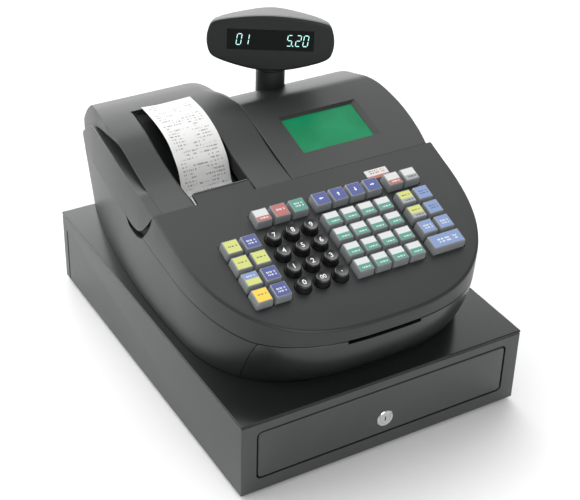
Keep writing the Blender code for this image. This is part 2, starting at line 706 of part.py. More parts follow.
def make_printer():
    low = CASE_BOTTOM + WALL + GAP
    unit = box("printer_unit", (-0.124, -0.030, 0.160), (-0.042, 0.034, 0.2055), PARTS)
    for x in (-0.122, -0.052):
        leg = box("printer_leg", (x, -0.020, low + 0.0105), (x + 0.008, 0.024, 0.165))
        boolean(unit, leg, "UNION")
    bed = box("platen_bed", (-0.1165, -0.0190, 0.1930), (-0.0480, -0.0050, 0.25))
    boolean(unit, bed)
    paint(unit, *GREY_PLASTIC)

    across = Matrix.Translation((-0.1155, PLATEN_Y, PLATEN_Z)) @ Matrix.Rotation(math.pi / 2, 4, "Y")
    platen = cylinder("platen_roller", PLATEN_R, 0.0665, across, PARTS, 20)
    move_origin(platen, (-0.0822, PLATEN_Y, PLATEN_Z))
    paint(platen, *RUBBER)

    across = Matrix.Translation((PAPER_LEFT, ROLL_Y, ROLL_Z)) @ Matrix.Rotation(math.pi / 2, 4, "Y")
    roll = cylinder("paper_roll", ROLL_R, PAPER_RIGHT - PAPER_LEFT, across, PARTS, 40)
    core = cylinder("paper_core", ROLL_CORE, 0.08, across @ Matrix.Translation((0, 0, -0.01)), sides=20)
    boolean(roll, core)
    paint(roll, *PAPER)

    receipt = extruded(
        "receipt", strip_outline(smooth_line(RECEIPT, 4), PAPER_T), PAPER_LEFT, PAPER_RIGHT, collection=PARTS
    )
    paint(receipt, *PAPER)
    chute = extruded(
        "paper_chute", strip_outline(smooth_line(CHUTE, 3), CHUTE_T), CHUTE_LEFT, CHUTE_RIGHT,
        collection=PARTS,
    )
    paint(chute, *BLACK_PLASTIC)


# ---------------------------------------------------------------- keyboard

def key_place(x, s):
    """The frame of a key: on the deck, Z out of it and Y up the slope."""
    return DECK @ Matrix.Translation((x, -s, 0))


def row_block(name, xs, low, high):
    """A hole round the keys at some x places, in the rows from one distance down the deck to another."""
    half = KEY_BASE / 2 + HOLE_GAP
    return box(name, (min(xs) - half, -high - half, -0.03), (max(xs) + half, -low + half, 0.03), matrix=DECK)


def key_holes():
    """One opening for each block of square keys, and a round hole for each number key."""
    last = ROW_S[-1]
    holes = [
        row_block("hole_left", LEFT_X, ROW_S[0], last),
        row_block("hole_departments", DEPARTMENT_X, ROW_S[0], last),
        row_block("hole_right", RIGHT_X, ROW_S[0], last),
        row_block("hole_clear", NUMBER_X, TOP_ROW_S, TOP_ROW_S),
        row_block("hole_functions", FUNCTION_X, TOP_ROW_S, TOP_ROW_S),
        row_block("hole_mode", RIGHT_X, TOP_ROW_S, TOP_ROW_S),
    ]
    for row, s in enumerate(ROW_S):
        for column, x in enumerate(NUMBER_X):
            at = key_place(x, s) @ Matrix.Translation((0, 0, -0.03))
            hole_name = "hole_number_%d_%d" % (row, column)
            holes.append(cylinder(hole_name, NUMBER_R + HOLE_GAP, 0.06, at, sides=20))
    return holes


def square_cap(name, x, width=KEY_BASE, collection=None, matrix=None):
    """A tapered cap in the deck's frame, centred on x, from under the deck up to its crown."""
    crown = width - (KEY_BASE - KEY_CROWN)
    depth, crown_depth = KEY_BASE, KEY_CROWN
    levels = [
        (-KEY_DOWN, width, depth), (0.0015, width, depth),
        (KEY_UP - 0.0008, crown + 0.0012, crown_depth + 0.0012), (KEY_UP, crown, crown_depth),
    ]
    rings = []
    for z, across, along in levels:
        corners = ((-1, -1), (1, -1), (1, 1), (-1, 1))
        rings.append([(x + sx * across / 2, sy * along / 2, z) for sx, sy in corners])
    return loft(name, rings, collection, matrix)


def make_key_row(name, xs, s):
    """Square keys side by side on one carrier bar, which travels as one piece."""
    place = key_place(xs[0], s)
    row = square_cap(name, 0.0, collection=PARTS, matrix=place)
    for x in xs[1:]:
        boolean(row, square_cap(name + "_cap", x - xs[0], matrix=place), "UNION")
    reach = xs[-1] - xs[0] + 0.006
    bar = box(
        name + "_bar",
        (-0.006, -BAR_W / 2, -KEY_DOWN - STEM), (reach, BAR_W / 2, -KEY_DOWN + 0.0005), matrix=place,
    )
    boolean(row, bar, "UNION")
    paint(row, *KEY_CLEAR)


def make_single_key(name, x, s, width=KEY_BASE):
    place = key_place(x, s)
    key = square_cap(name, 0.0, width, PARTS, place)
    stem = box(
        name + "_stem", (-0.004, -0.004, -KEY_DOWN - STEM), (0.004, 0.004, -KEY_DOWN + 0.0005), matrix=place
    )
    boolean(key, stem, "UNION")
    paint(key, *KEY_CLEAR)


def make_number_key(name, x, s):
    """A round black key with a domed edge, on a stem."""
    profile = [
        (0.0, KEY_UP - 0.0006), (NUMBER_CROWN_R - 0.0012, KEY_UP - 0.0002), (NUMBER_CROWN_R, KEY_UP - 0.0012),
        (NUMBER_R, 0.0015), (NUMBER_R, -KEY_DOWN), (0.004, -KEY_DOWN), (0.004, -KEY_DOWN - STEM),
        (0.0, -KEY_DOWN - STEM),
    ]
    key = turned(name, profile, PARTS, key_place(x, s), 16)
    paint(key, (0.012, 0.012, 0.013), 0.22)


def make_keys():
    for row, s in enumerate(ROW_S):
        make_key_row("left_keys_%d" % (row + 1), LEFT_X, s)
        make_key_row("department_keys_%d" % (row + 1), DEPARTMENT_X, s)
        if row < 3:
            make_key_row("right_keys_%d" % (row + 1), RIGHT_X, s)
        for column, x in enumerate(NUMBER_X):
            make_number_key("key_" + NUMBER_NAMES[row * 3 + column], x, s)
    make_single_key("total_key", sum(RIGHT_X) / 2, ROW_S[-1], RIGHT_X[1] - RIGHT_X[0] + KEY_BASE)
    for name, x in zip(("feed_key", "clear_key", "void_key"), NUMBER_X):
        make_single_key(name, x, TOP_ROW_S)
    make_key_row("function_keys", FUNCTION_X, TOP_ROW_S)
    make_key_row("mode_keys", RIGHT_X, TOP_ROW_S)

    board_low, board_high = (-0.127, -0.1420, -BOARD_DEPTH - 0.0016), (0.127, -0.0240, -BOARD_DEPTH)
    board = box("keyboard_board", board_low, board_high, PARTS, DECK)
    paint(board, (0.03, 0.16, 0.08), 0.5)


# ---------------------------------------------------------------- customer display

def head_frame():
    turn = Matrix.Translation((POLE_X, POLE_Y, HEAD_Z)) @ Matrix.Rotation(HEAD_YAW, 4, "Z")
    return turn @ Matrix.Rotation(HEAD_TILT, 4, "X") @ Matrix.Translation((0, -HEAD_FORWARD, 0))


def head_ring(depth, inset=0.0, side_count=11):
    """The head's outline at a distance behind its face: four bowed sides with round corners."""
    narrowing = math.sqrt(1 - (depth / (HEAD_DEPTH + 0.0015)) ** 3)
    squat = 1 - 0.18 * (depth / HEAD_DEPTH) ** 3
    ring = []
    for turn in range(4):
        for step in range(side_count):
            place = math.sin(math.pi / 2 * (2 * (step + 0.5) / side_count - 1))
            u, v = [(1, place), (-place, 1), (-1, -place), (place, -1)][turn]
            corner = (abs(u) ** HEAD_POWER + abs(v) ** HEAD_POWER) ** (-1 / HEAD_POWER)
            u, v = u * corner, v * corner
            tall, bow = (HEAD_UP, HEAD_UP_BOW) if v > 0 else (HEAD_DOWN, HEAD_DOWN_BOW)
            z = v * (tall - inset - bow * (u * HEAD_HALF_W) ** 2)
            x = u * (HEAD_HALF_W - inset - HEAD_SIDE_BOW * (z - HEAD_WIDEST_Z) ** 2)
            ring.append((x * narrowing, depth, z * squat))
    return ring


def make_customer_display():
    base = CASE_BOTTOM + WALL + GAP
    pole = turned(
        "display_pole",
        [(0.0, POLE_TOP - POLE_BORE_DEPTH), (POLE_BORE_R, POLE_TOP - POLE_BORE_DEPTH),
         (POLE_BORE_R, POLE_TOP), (POLE_R, POLE_TOP), (POLE_R, 0.225), (0.012, 0.215),
         (0.012, base + 0.003), (0.028, base + 0.003), (0.028, base), (0.0, base)],
        PARTS, Matrix.Translation((POLE_X, POLE_Y, 0)), 32,
    )
    paint(pole, *BLACK_PLASTIC)

    frame = head_frame()
    depths = [HEAD_FACE_T + GAP, 0.014, 0.024, 0.032, 0.038, 0.043, HEAD_DEPTH]
    shell = loft("head_shell", [head_ring(d) for d in depths], PARTS, frame)
    inner = [HEAD_FACE_T - 0.002, 0.014, 0.024, 0.032, 0.038, HEAD_DEPTH - HEAD_WALL]
    hollow = loft("head_hollow", [head_ring(d, HEAD_WALL) for d in inner], None, frame)
    upright = Matrix.Translation((POLE_X, POLE_Y, 0))
    spigot = cylinder("head_spigot", SPIGOT_R, 0.028, upright @ Matrix.Translation((0, 0, 0.2600)), sides=24)
    collar_place = upright @ Matrix.Translation((0, 0, POLE_TOP + GAP))
    collar = cylinder("head_collar", POLE_R, 0.008, collar_place, sides=32)
    boolean(shell, collar, "UNION")
    boolean(shell, hollow)
    boolean(shell, spigot, "UNION")
    trim = box("head_front_trim", (-0.1, -0.05, -0.1), (0.1, HEAD_FACE_T + GAP, 0.1), matrix=frame)
    boolean(shell, trim)
    paint(shell, *BLACK_PLASTIC)

    face_rings = [head_ring(0.0, 0.0012), head_ring(0.0012), head_ring(HEAD_FACE_T)]
    face = loft("head_face", face_rings, PARTS, frame)
    half_w, half_h = HEAD_WINDOW_W / 2, HEAD_WINDOW_H / 2
    low, high = HEAD_WINDOW_Z - half_h, HEAD_WINDOW_Z + half_h
    opening = box("head_window_hole", (-half_w, -0.01, low), (half_w, 0.02, high), matrix=frame)
    boolean(face, opening)
    paint(face, *BLACK_PLASTIC)
    window = box(
        "head_window",
        (-half_w + GAP, 0.0010, low + GAP), (half_w - GAP, 0.0035, high - GAP), PARTS, frame,
    )
    paint(window, (0.01, 0.012, 0.012), 0.08)


make_cabinet()
make_feet()
make_drawer()
make_lock()
make_money_tray()
make_base_case()
make_front_cover()
make_cord_gland()
make_main_board()
make_upper_case()
make_printer_cover()
make_display_cover()
make_printer()
make_keys()
make_customer_display()
hide_cutters()
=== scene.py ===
"""The looks of the cash register: fine shells, keys with legends, displays, receipt and steel work,
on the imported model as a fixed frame. Metres, +Z up, the machine's front towards -Y."""

import math

import bmesh
import bpy
from mathutils import Matrix, Vector


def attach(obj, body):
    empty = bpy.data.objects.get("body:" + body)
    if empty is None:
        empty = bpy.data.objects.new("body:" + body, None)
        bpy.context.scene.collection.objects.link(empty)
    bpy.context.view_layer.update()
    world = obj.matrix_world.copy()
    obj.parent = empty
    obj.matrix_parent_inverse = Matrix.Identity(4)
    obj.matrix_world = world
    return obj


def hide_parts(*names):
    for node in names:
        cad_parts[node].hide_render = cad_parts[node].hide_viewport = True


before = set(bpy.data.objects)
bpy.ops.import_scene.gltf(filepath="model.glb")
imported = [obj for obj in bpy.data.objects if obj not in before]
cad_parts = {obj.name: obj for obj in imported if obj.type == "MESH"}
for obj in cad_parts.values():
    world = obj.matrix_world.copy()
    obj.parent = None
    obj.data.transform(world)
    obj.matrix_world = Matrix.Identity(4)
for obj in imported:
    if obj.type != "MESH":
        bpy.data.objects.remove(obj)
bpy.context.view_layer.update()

# Sizes that the machine's design and this script share
GAP = 0.0003
WALL = 0.0025
CABINET_W, CABINET_D, CABINET_H = 0.332, 0.4407, 0.0884
STEEL = 0.0015
FOOT_H = 0.004
TOP = FOOT_H + CABINET_H
FRONT, REAR = -CABINET_D / 2, CABINET_D / 2
OPENING_W, OPENING_LOW, OPENING_HIGH, OPENING_R = 0.298, FOOT_H + 0.0151, FOOT_H + 0.0751, 0.006
PANEL_GAP, PANEL_T = 0.002, 0.0118
LOCK_Z, LOCK_R = FOOT_H + 0.0351, 0.0095
SIDE_MAX, SIDE_CENTRE_Y, SIDE_BOW = 0.1672, -0.02, 0.55
NOSE_START, NOSE_FRONT = -0.06, -0.2195
NOSE_POWER_X, NOSE_POWER_Y = 2.9, 2.4
FOOTPRINT_INSET, NOSE_UNDERCUT = 0.010, 0.0255
CASE_BOTTOM = TOP + GAP
SEAM_Z, SIDE_FULL_Z = 0.151, 0.190
PARTING = [(-0.26, SEAM_Z), (-0.176, SEAM_Z), (0.0, 0.187), (0.03, 0.190), (0.15, 0.190), (0.195, 0.181)]
DECK_TILT = math.radians(18.5)
DECK_BACK_Y, DECK_BACK_Z = -0.037, 0.2272
DOME = [
    (-0.037, 0.2269), (0.007, 0.2375), (0.052, 0.2537), (0.074, 0.2601), (0.103, 0.2631),
    (0.126, 0.2628), (0.145, 0.2602), (0.161, 0.2544), (0.190, 0.2330), (0.2203, 0.2044),
]
PANEL_TILT = math.radians(16.46)
PANEL_RIDGE_Y = 0.076
PANEL_REAR = [
    (0.090, 0.2590), (0.110, 0.2540), (0.135, 0.2385), (0.165, 0.2160), (0.200, 0.1930), (0.2203, 0.1815),
]
LEDGE = [
    (-0.006, 0.2345), (0.006, 0.2340), (0.048, 0.2379), (0.087, 0.2404), (0.145, 0.2360), (0.180, 0.2180),
    (0.25, 0.170),
]
CREASE_X = -0.157
COVER_SPLIT_X = -0.008
COVER_OPENING = (-0.1185, -0.0505, -0.0232, 0.112)
TEAR_TAB = (-0.1175, -0.053, -0.0235)
FRONT_COVER_Y, FRONT_COVER_LEAN = -0.151, -0.485
CARD_SLOT = (-0.048, 0.036, 0.0040)
LCD_RECESS = (0.0225, 0.1190, -0.008, 0.047)
PAPER_LEFT, PAPER_RIGHT = -0.110, -0.0525
RECEIPT = [
    (-0.0100, 0.2072), (0.0000, 0.2073), (0.0090, 0.2086), (0.0146, 0.2130), (0.0178, 0.2220),
    (0.0222, 0.2330), (0.0305, 0.2425), (0.0480, 0.2552), (0.0770, 0.2636), (0.1100, 0.2655),
]
POLE_X, POLE_Y, POLE_R, POLE_TOP = 0.0495, 0.114, 0.0163, 0.2780
HEAD_YAW, HEAD_TILT, HEAD_Z, HEAD_FORWARD = math.radians(-31.6), math.radians(-8.6), 0.3179, 0.018
HEAD_HALF_W, HEAD_UP, HEAD_DOWN = 0.0695, 0.0238, 0.0378
HEAD_UP_BOW, HEAD_DOWN_BOW, HEAD_SIDE_BOW, HEAD_WIDEST_Z, HEAD_POWER = 1.5, 2.9, 13.5, -0.004, 14
HEAD_FACE_T, HEAD_DEPTH, HEAD_WALL = 0.0045, 0.046, 0.0030
HEAD_WINDOW_W, HEAD_WINDOW_H, HEAD_WINDOW_Z = 0.094, 0.0222, -0.0028
KEY_UP, KEY_DOWN, KEY_BASE = 0.009, 0.0035, 0.0188
NUMBER_R, NUMBER_CROWN_R, HOLE_GAP = 0.0086, 0.0068, 0.0007
TOP_ROW_S, ROW_S = 0.0400, [0.0672, 0.0884, 0.1096, 0.1308]
LEFT_X, NUMBER_X = [-0.1140, -0.0933], [-0.0669, -0.0457, -0.0245]
DEPARTMENT_X, RIGHT_X = [0.0009, 0.0214, 0.0419, 0.0624], [0.0902, 0.1109]
FUNCTION_X = [x + 0.0014 for x in DEPARTMENT_X]
NUMBER_NAMES = ["7", "8", "9", "4", "5", "6", "1", "2", "3", "0", "00", "point"]

# Sizes of the fine shapes, which only this script has
EDGE_R, EDGE_STEPS = 0.003, 6
SEAM_BEVEL = 0.0004
REAR_CORNER_R = 0.009
NOSE_BELLY = 1.7
SIDE_STATIONS, NOSE_STATIONS, CORNER_STATIONS = 22, 30, 6
FLOOR_CUT = 0.165          # the covers are drawn down to here, then cut off at their seams
FAR = 0.2                  # beyond the casing on either side
HIGH = 0.45                # above everything
LEDGE_LEAST = 0.0024       # the least width of the ledge beside the printer cover's dome
LIP_BOW, LIP_ROLL = 0.0036, 0.0045
GROOVE_DEPTH, GROOVE_FRONT, GROOVE_REAR = 0.0088, -0.001, 0.142
RIDGE_ROUND = 0.004
LCD_WALLS = (0.0020, 0.0075, 0.0015, 0.0040)

DECK = Matrix.Translation((0, DECK_BACK_Y, DECK_BACK_Z)) @ Matrix.Rotation(DECK_TILT, 4, "X")
PANEL = Matrix.Translation((0, DECK_BACK_Y, DECK_BACK_Z)) @ Matrix.Rotation(PANEL_TILT, 4, "X")
UPRIGHT = Matrix.Translation((POLE_X, POLE_Y, 0))


# ---------------------------------------------------------------- meshes

def add(name, mesh, matrix=None):
    piece = bpy.data.objects.new(name, mesh)
    bpy.context.scene.collection.objects.link(piece)
    if matrix is not None:
        piece.matrix_world = matrix
    return piece


def finished(name, work):
    """A bmesh closed off as mesh data with its faces pointing out."""
    bmesh.ops.recalc_face_normals(work, faces=work.faces)
    mesh = bpy.data.meshes.new(name)
    work.to_mesh(mesh)
    work.free()
    return mesh


def loft(name, rings, matrix=None):
    """Closed rings of equal length joined side by side, with the first and last filled."""
    work = bmesh.new()
    loops = [[work.verts.new(point) for point in ring] for ring in rings]
    count = len(rings[0])
    for lower, upper in zip(loops, loops[1:]):
        for i in range(count):
            j = (i + 1) % count
            work.faces.new((lower[i], lower[j], upper[j], upper[i]))
    work.faces.new(loops[0])
    work.faces.new(loops[-1])
    return add(name, finished(name, work), matrix)


def prism(name, profile, left, right):
    """A side profile of (y, z) points, thick from one x to another."""
    return loft(name, [[(x, y, z) for y, z in profile] for x in (left, right)])


def box(name, low, high, matrix=None, bevel=0.0):
    low, high = Vector(low), Vector(high)
    work = bmesh.new()
    place = Matrix.Translation((low + high) / 2) @ Matrix.Diagonal((*(high - low), 1))
    bmesh.ops.create_cube(work, size=1.0, matrix=place)
    if bevel:
        bmesh.ops.bevel(work, geom=work.edges[:], offset=bevel, segments=3, profile=0.5, affect="EDGES")
    return add(name, finished(name, work), matrix)


def rounded_rectangle(half_w, half_h, radius, steps=6):
    """Corner points of a rectangle with round corners, as (u, v) running anticlockwise."""
    points = []
    for sx, sy, start in ((1, 1, 0), (-1, 1, 90), (-1, -1, 180), (1, -1, 270)):
        for step in range(steps + 1):
            turn = math.radians(start + 90 * step / steps)
            u = sx * (half_w - radius) + radius * math.cos(turn)
            points.append((u, sy * (half_h - radius) + radius * math.sin(turn)))
    return points


def slab(name, half_w, half_h, radius, levels, matrix=None, centre=(0.0, 0.0), steps=6):
    """A rounded rectangle built up along Z. Each level is (z, how far its sides are drawn in)."""
    rings = []
    for z, inset in levels:
        corner = max(radius - inset, radius * 0.25)
        outline = rounded_rectangle(half_w - inset, half_h - inset, corner, steps)
        rings.append([(centre[0] + u, centre[1] + v, z) for u, v in outline])
    return loft(name, rings, matrix)


def turned(name, profile, matrix, sides=48):
    """A profile of (radius, z) points turned round Z. It starts and ends on the axis."""
    work = bmesh.new()
    loops = []
    for radius, z in profile:
        if radius < 1e-6:
            loops.append([work.verts.new((0, 0, z))])
            continue
        turns = [2 * math.pi * i / sides for i in range(sides)]
        loops.append([work.verts.new((radius * math.cos(t), radius * math.sin(t), z)) for t in turns])
    for lower, upper in zip(loops, loops[1:]):
        for i in range(sides):
            j = (i + 1) % sides
            below_them = [lower[i % len(lower)], lower[j % len(lower)]]
            above_them = [upper[j % len(upper)], upper[i % len(upper)]]
            work.faces.new(list(dict.fromkeys(below_them + above_them)))
    return add(name, finished(name, work), matrix)


def evaluated(piece):
    bpy.context.view_layer.update()
    graph = bpy.context.evaluated_depsgraph_get()
    return bpy.data.meshes.new_from_object(piece.evaluated_get(graph), depsgraph=graph)


def cut(piece, *cutters, operation="DIFFERENCE"):
    """Cuts the piece with other shapes, or joins them to it, and removes them."""
    for cutter in cutters:
        modifier = piece.modifiers.new("cut", "BOOLEAN")
        modifier.operation = operation
        modifier.object = cutter
        modifier.solver = "EXACT"
    piece.data = evaluated(piece)
    piece.modifiers.clear()
    for cutter in cutters:
        bpy.data.objects.remove(cutter, do_unlink=True)
    return piece


def soften(piece):
    """Shades the piece smooth, except over its sharp edges."""
    piece.data.shade_smooth()
    piece.data.set_sharp_from_angle(angle=math.radians(30))
    return piece


def settle(piece):
    """Moves a piece's placing into its mesh."""
    piece.data.transform(piece.matrix_world)
    piece.matrix_world = Matrix.Identity(4)
    return piece


def dress(piece, body, material, stands_for=()):
    """Gives a piece its material and lets it ride on its body."""
    materials = material if isinstance(material, (list, tuple)) else [material]
    piece.data.materials.clear()
    for one in materials:
        piece.data.materials.append(one)
    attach(piece, body)
    if stands_for:
        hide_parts(*stands_for)
    return piece


# ---------------------------------------------------------------- curves

def smooth_line(points, steps=4):
    """Points along a Catmull-Rom curve through the given ones."""
    line = []
    last = len(points) - 1
    for i in range(last):
        p0, p1, p2, p3 = (Vector(points[min(max(k, 0), last)]) for k in (i - 1, i, i + 1, i + 2))
        for step in range(steps):
            t = step / steps
            line.append(tuple(0.5 * (
                2 * p1 + (p2 - p0) * t + (2 * p0 - 5 * p1 + 4 * p2 - p3) * t * t
                + (3 * p1 - p0 - 3 * p2 + p3) * t ** 3
            )))
    line.append(tuple(points[-1]))
    return line


def along(line, place):
    """The second coordinate of a line of points at a place on its first coordinate."""
    if place <= line[0][0]:
        return line[0][1]
    for (a, low), (b, high) in zip(line, line[1:]):
        if place <= b:
            return low + (high - low) * (place - a) / (b - a)
    return line[-1][1]


def ease(low, high, value):
    t = min(max((value - low) / (high - low), 0.0), 1.0)
    return t * t * (3 - 2 * t)


# ---------------------------------------------------------------- casing outline

PARTING_LINE = PARTING[:1] + smooth_line(PARTING[1:], 6)
DOME_LINE = smooth_line(DOME, 8)
LEDGE_LINE = smooth_line(LEDGE, 6)
PANEL_EDGE = smooth_line([
    (-0.0367, 0.1608), (-0.013, 0.1654), (0.018, 0.1676), (0.044, 0.1655), (0.066, 0.1610),
    (0.076, 0.1575), (0.100, 0.1525), (0.150, 0.1460), (0.2203, 0.1340),
], 6)
TONGUE_END = smooth_line([
    (-0.0335, 0.2225), (-0.0312, 0.2200), (-0.0280, 0.2160), (-0.0225, 0.2090), (-0.0160, 0.2022),
    (-0.0080, 0.1945), (0.0015, 0.1890), (0.0120, 0.1868), (0.0230, 0.1872), (0.0300, 0.1888),
    (0.0340, 0.1905),
], 3)
FINGER_EDGE = smooth_line([
    (-0.0345, 0.2232), (-0.0318, 0.2180), (-0.0298, 0.2125), (-0.0230, 0.2015), (-0.0142, 0.1915),
    (-0.0050, 0.1830), (0.0060, 0.1788), (0.0180, 0.1783), (0.0270, 0.1800), (0.0320, 0.1850),
    (0.0340, 0.1903),
], 3)
FACET = [
    (-0.002, 0.0004), (0.016, 0.0010), (0.040, 0.0042), (0.065, 0.0060), (0.096, 0.0110), (0.135, 0.0200),
]
# A lip inside the rear, behind the seam under the printer cover, so that nothing shows through it
REAR_SEAM_LIP = [(0.2120, 0.1640), (0.2136, 0.1640), (0.2136, 0.1835), (0.2120, 0.1828)]


def side_x(y):
    return SIDE_MAX - SIDE_BOW * (y - SIDE_CENTRE_Y) ** 2


def flank_x(y, z):
    """Half the casing's width at a place on its side."""
    return side_x(y) - FOOTPRINT_INSET * max(0.0, (SIDE_FULL_Z - z) / (SIDE_FULL_Z - TOP))


def parting_z(y):
    return along(PARTING_LINE, y)


def deck_z(y):
    return DECK_BACK_Z + math.tan(DECK_TILT) * (y - DECK_BACK_Y)


def dome_z(y):
    return along(DOME_LINE, y)


def panel_z(y):
    return DECK_BACK_Z + math.tan(PANEL_TILT) * (y - DECK_BACK_Y)


REAR_LINE = smooth_line([(PANEL_RIDGE_Y, panel_z(PANEL_RIDGE_Y))] + PANEL_REAR, 6)


def display_z(y):
    """The display cover's top, with its ridge rounded off."""
    if y <= PANEL_RIDGE_Y - RIDGE_ROUND:
        return panel_z(y)
    if y >= PANEL_RIDGE_Y + RIDGE_ROUND:
        return along(REAR_LINE, y)
    t = (y - PANEL_RIDGE_Y + RIDGE_ROUND) / (2 * RIDGE_ROUND)
    start, middle = panel_z(PANEL_RIDGE_Y - RIDGE_ROUND), panel_z(PANEL_RIDGE_Y)
    end = along(REAR_LINE, PANEL_RIDGE_Y + RIDGE_ROUND)
    return (1 - t) ** 2 * start + 2 * t * (1 - t) * middle + t * t * end


def rear_corner(y, inset=0.0):
    """How far the plan's rear corner is rounded in at y."""
    radius = REAR_CORNER_R
    past = y - (REAR - inset - radius)
    return 0.0 if past <= 0 else radius - math.sqrt(max(radius ** 2 - past ** 2, 0.0))


def half_outline(level, inset):
    """The right half of the casing's outline from the middle of its rear to the middle of its nose."""
    rear = REAR - inset
    radius = REAR_CORNER_R
    half = [(0.0, rear)]
    for step in range(CORNER_STATIONS + 1):
        turn = math.pi / 2 * (1 - step / CORNER_STATIONS)
        y = rear - radius + radius * math.sin(turn)
        half.append((flank_x(y, level(y)) - inset - radius + radius * math.cos(turn), y))
    start = half[-1][1]
    for step in range(1, SIDE_STATIONS + 1):
        y = start + (NOSE_START - start) * step / SIDE_STATIONS
        half.append((flank_x(y, level(y)) - inset, y))
    for step in range(1, NOSE_STATIONS + 1):
        turn = math.pi / 2 * step / NOSE_STATIONS
        y = NOSE_FRONT
        for _ in range(4):
            z = level(y)
            front = NOSE_FRONT + inset + NOSE_UNDERCUT * max(0.0, (SEAM_Z - z) / (SEAM_Z - TOP)) ** NOSE_BELLY
            y = NOSE_START - (NOSE_START - front) * math.sin(turn) ** (2 / NOSE_POWER_Y)
        reach = flank_x(NOSE_START, level(y)) - inset
        x = reach * max(math.cos(turn), 0.0) ** (2 / NOSE_POWER_X) if step < NOSE_STATIONS else 0.0
        half.append((x, y))
    return half


def casing_ring(level, inset=0.0):
    half = half_outline(level, inset)
    right = [(x, y, level(y)) for x, y in half]
    left = [(-x, y, z) for x, y, z in reversed(right[1:-1])]
    return right + left


def casing(name, levels):
    """The casing's form through levels of (height as a function of y, inset)."""
    return loft(name, [casing_ring(level, inset) for level, inset in levels])


def flat(z):
    return lambda y: z


def below(line, name):
    """Everything below a side profile."""
    ends = [(line[-1][0] + 0.05, line[-1][1]), (line[-1][0] + 0.05, 0.0)]
    start = [(line[0][0] - 0.08, 0.0), (line[0][0] - 0.08, line[0][1])]
    return prism(name, start + line + ends, -FAR, FAR)


# ---------------------------------------------------------------- materials

NONE, FULL = (0, 0, 0), (1, 1, 1)


def new_material(name):
    """An empty node material: its tree, its shader and object coordinates."""
    material = bpy.data.materials.new(name)
    material.use_nodes = True
    tree = material.node_tree
    place = add_node(tree, "TexCoord").outputs["Object"]
    return material, tree, tree.nodes["Principled BSDF"], place


def feed(tree, node, inputs):
    """Sets a node's inputs to values, or links them to the outputs of other nodes."""
    for key, value in inputs.items():
        if isinstance(value, bpy.types.NodeSocket):
            tree.links.new(value, node.inputs[key])
        else:
            node.inputs[key].default_value = value


def add_node(tree, kind, inputs=(), **settings):
    node = tree.nodes.new("ShaderNode" + kind)
    for name, value in settings.items():
        setattr(node, name, value)
    feed(tree, node, dict(inputs))
    return node


def noise(tree, vector, scale, detail=2.0, roughness=0.5):
    inputs = {"Vector": vector, "Scale": scale, "Detail": detail, "Roughness": roughness}
    return add_node(tree, "TexNoise", inputs).outputs["Fac"]


def ramp(tree, value, stops):
    """A colour ramp through (place, colour) stops."""
    node = add_node(tree, "ValToRGB", {"Fac": value})
    elements = node.color_ramp.elements
    elements.remove(elements[1])
    elements[0].position = stops[0][0]
    elements[0].color = (*stops[0][1], 1)
    for place, colour in stops[1:]:
        elements.new(place).color = (*colour, 1)
    return node.outputs["Color"]


def band(tree, value, start, full, fade, end):
    """1 from full to fade, and 0 before start and after end."""
    return ramp(tree, value, [(start, NONE), (full, FULL), (fade, FULL), (end, NONE)])


def bump(tree, shader, height, strength, distance):
    inputs = {"Height": height, "Strength": strength, "Distance": distance}
    feed(tree, shader, {"Normal": add_node(tree, "Bump", inputs).outputs["Normal"]})


def between(tree, value, low, high):
    return add_node(tree, "MapRange", {"Value": value, "To Min": low, "To Max": high}).outputs["Result"]


def stretched(tree, vector, scale):
    return add_node(tree, "Mapping", {"Vector": vector, "Scale": scale}).outputs["Vector"]


def times(tree, first, *others):
    for other in others:
        first = add_node(tree, "Math", {0: first, 1: other}, operation="MULTIPLY").outputs["Value"]
    return first


def inked(tree, ground, ink, amount):
    """Ink over a ground colour, by an amount from 0 to 1."""
    return add_node(tree, "Mix", {"Factor": amount, 6: ground, 7: (*ink, 1)}, data_type="RGBA").outputs[2]


def uv_coordinates(tree):
    """The piece's UV map, and its two parts."""
    uv = add_node(tree, "TexCoord").outputs["UV"]
    parts = add_node(tree, "SeparateXYZ", {"Vector": uv})
    return uv, parts.outputs["X"], parts.outputs["Y"]


def shade(colour, factor):
    return tuple(min(c * factor, 1.0) for c in colour)


def grained(name, colour, roughness, grain=1500.0, depth=0.00003, strength=0.5, spread=0.18,
            metallic=0.0, coat=0.0, specular=0.5):
    """Moulded or painted stock: fine grain, and colour and sheen that drift a little over the surface."""
    material, tree, shader, place = new_material(name)
    drift = noise(tree, place, 14.0, 3.0)
    fine = noise(tree, place, grain, 2.0, 0.6)
    feed(tree, shader, {
        "Base Color": ramp(tree, drift, [(0.3, shade(colour, 1 - spread)), (0.7, shade(colour, 1 + spread))]),
        "Roughness": between(tree, fine, roughness * 0.82, roughness * 1.18),
        "Metallic": metallic, "Coat Weight": coat, "Coat Roughness": 0.12, "Specular IOR Level": specular,
    })
    bump(tree, shader, fine, strength, depth)
    return material


def brushed(name, colour, roughness, stretch):
    """Metal with fine lines that run along one axis."""
    material, tree, shader, place = new_material(name)
    lines = noise(tree, stretched(tree, place, stretch), 900.0, 3.0, 0.7)
    feed(tree, shader, {
        "Base Color": ramp(tree, lines, [(0.3, shade(colour, 0.8)), (0.7, shade(colour, 1.1))]),
        "Roughness": between(tree, lines, roughness * 0.7, roughness * 1.3), "Metallic": 1.0,
    })
    bump(tree, shader, lines, 0.3, 0.00002)
    return material


def glowing(name, colour, power):
    """A lit display segment, a little brighter in places."""
    material, tree, shader, place = new_material(name)
    tone = ramp(tree, noise(tree, place, 700.0), [(0.3, shade(colour, 0.75)), (0.7, colour)])
    feed(tree, shader, {"Base Color": tone, "Emission Color": tone, "Emission Strength": power})
    return material


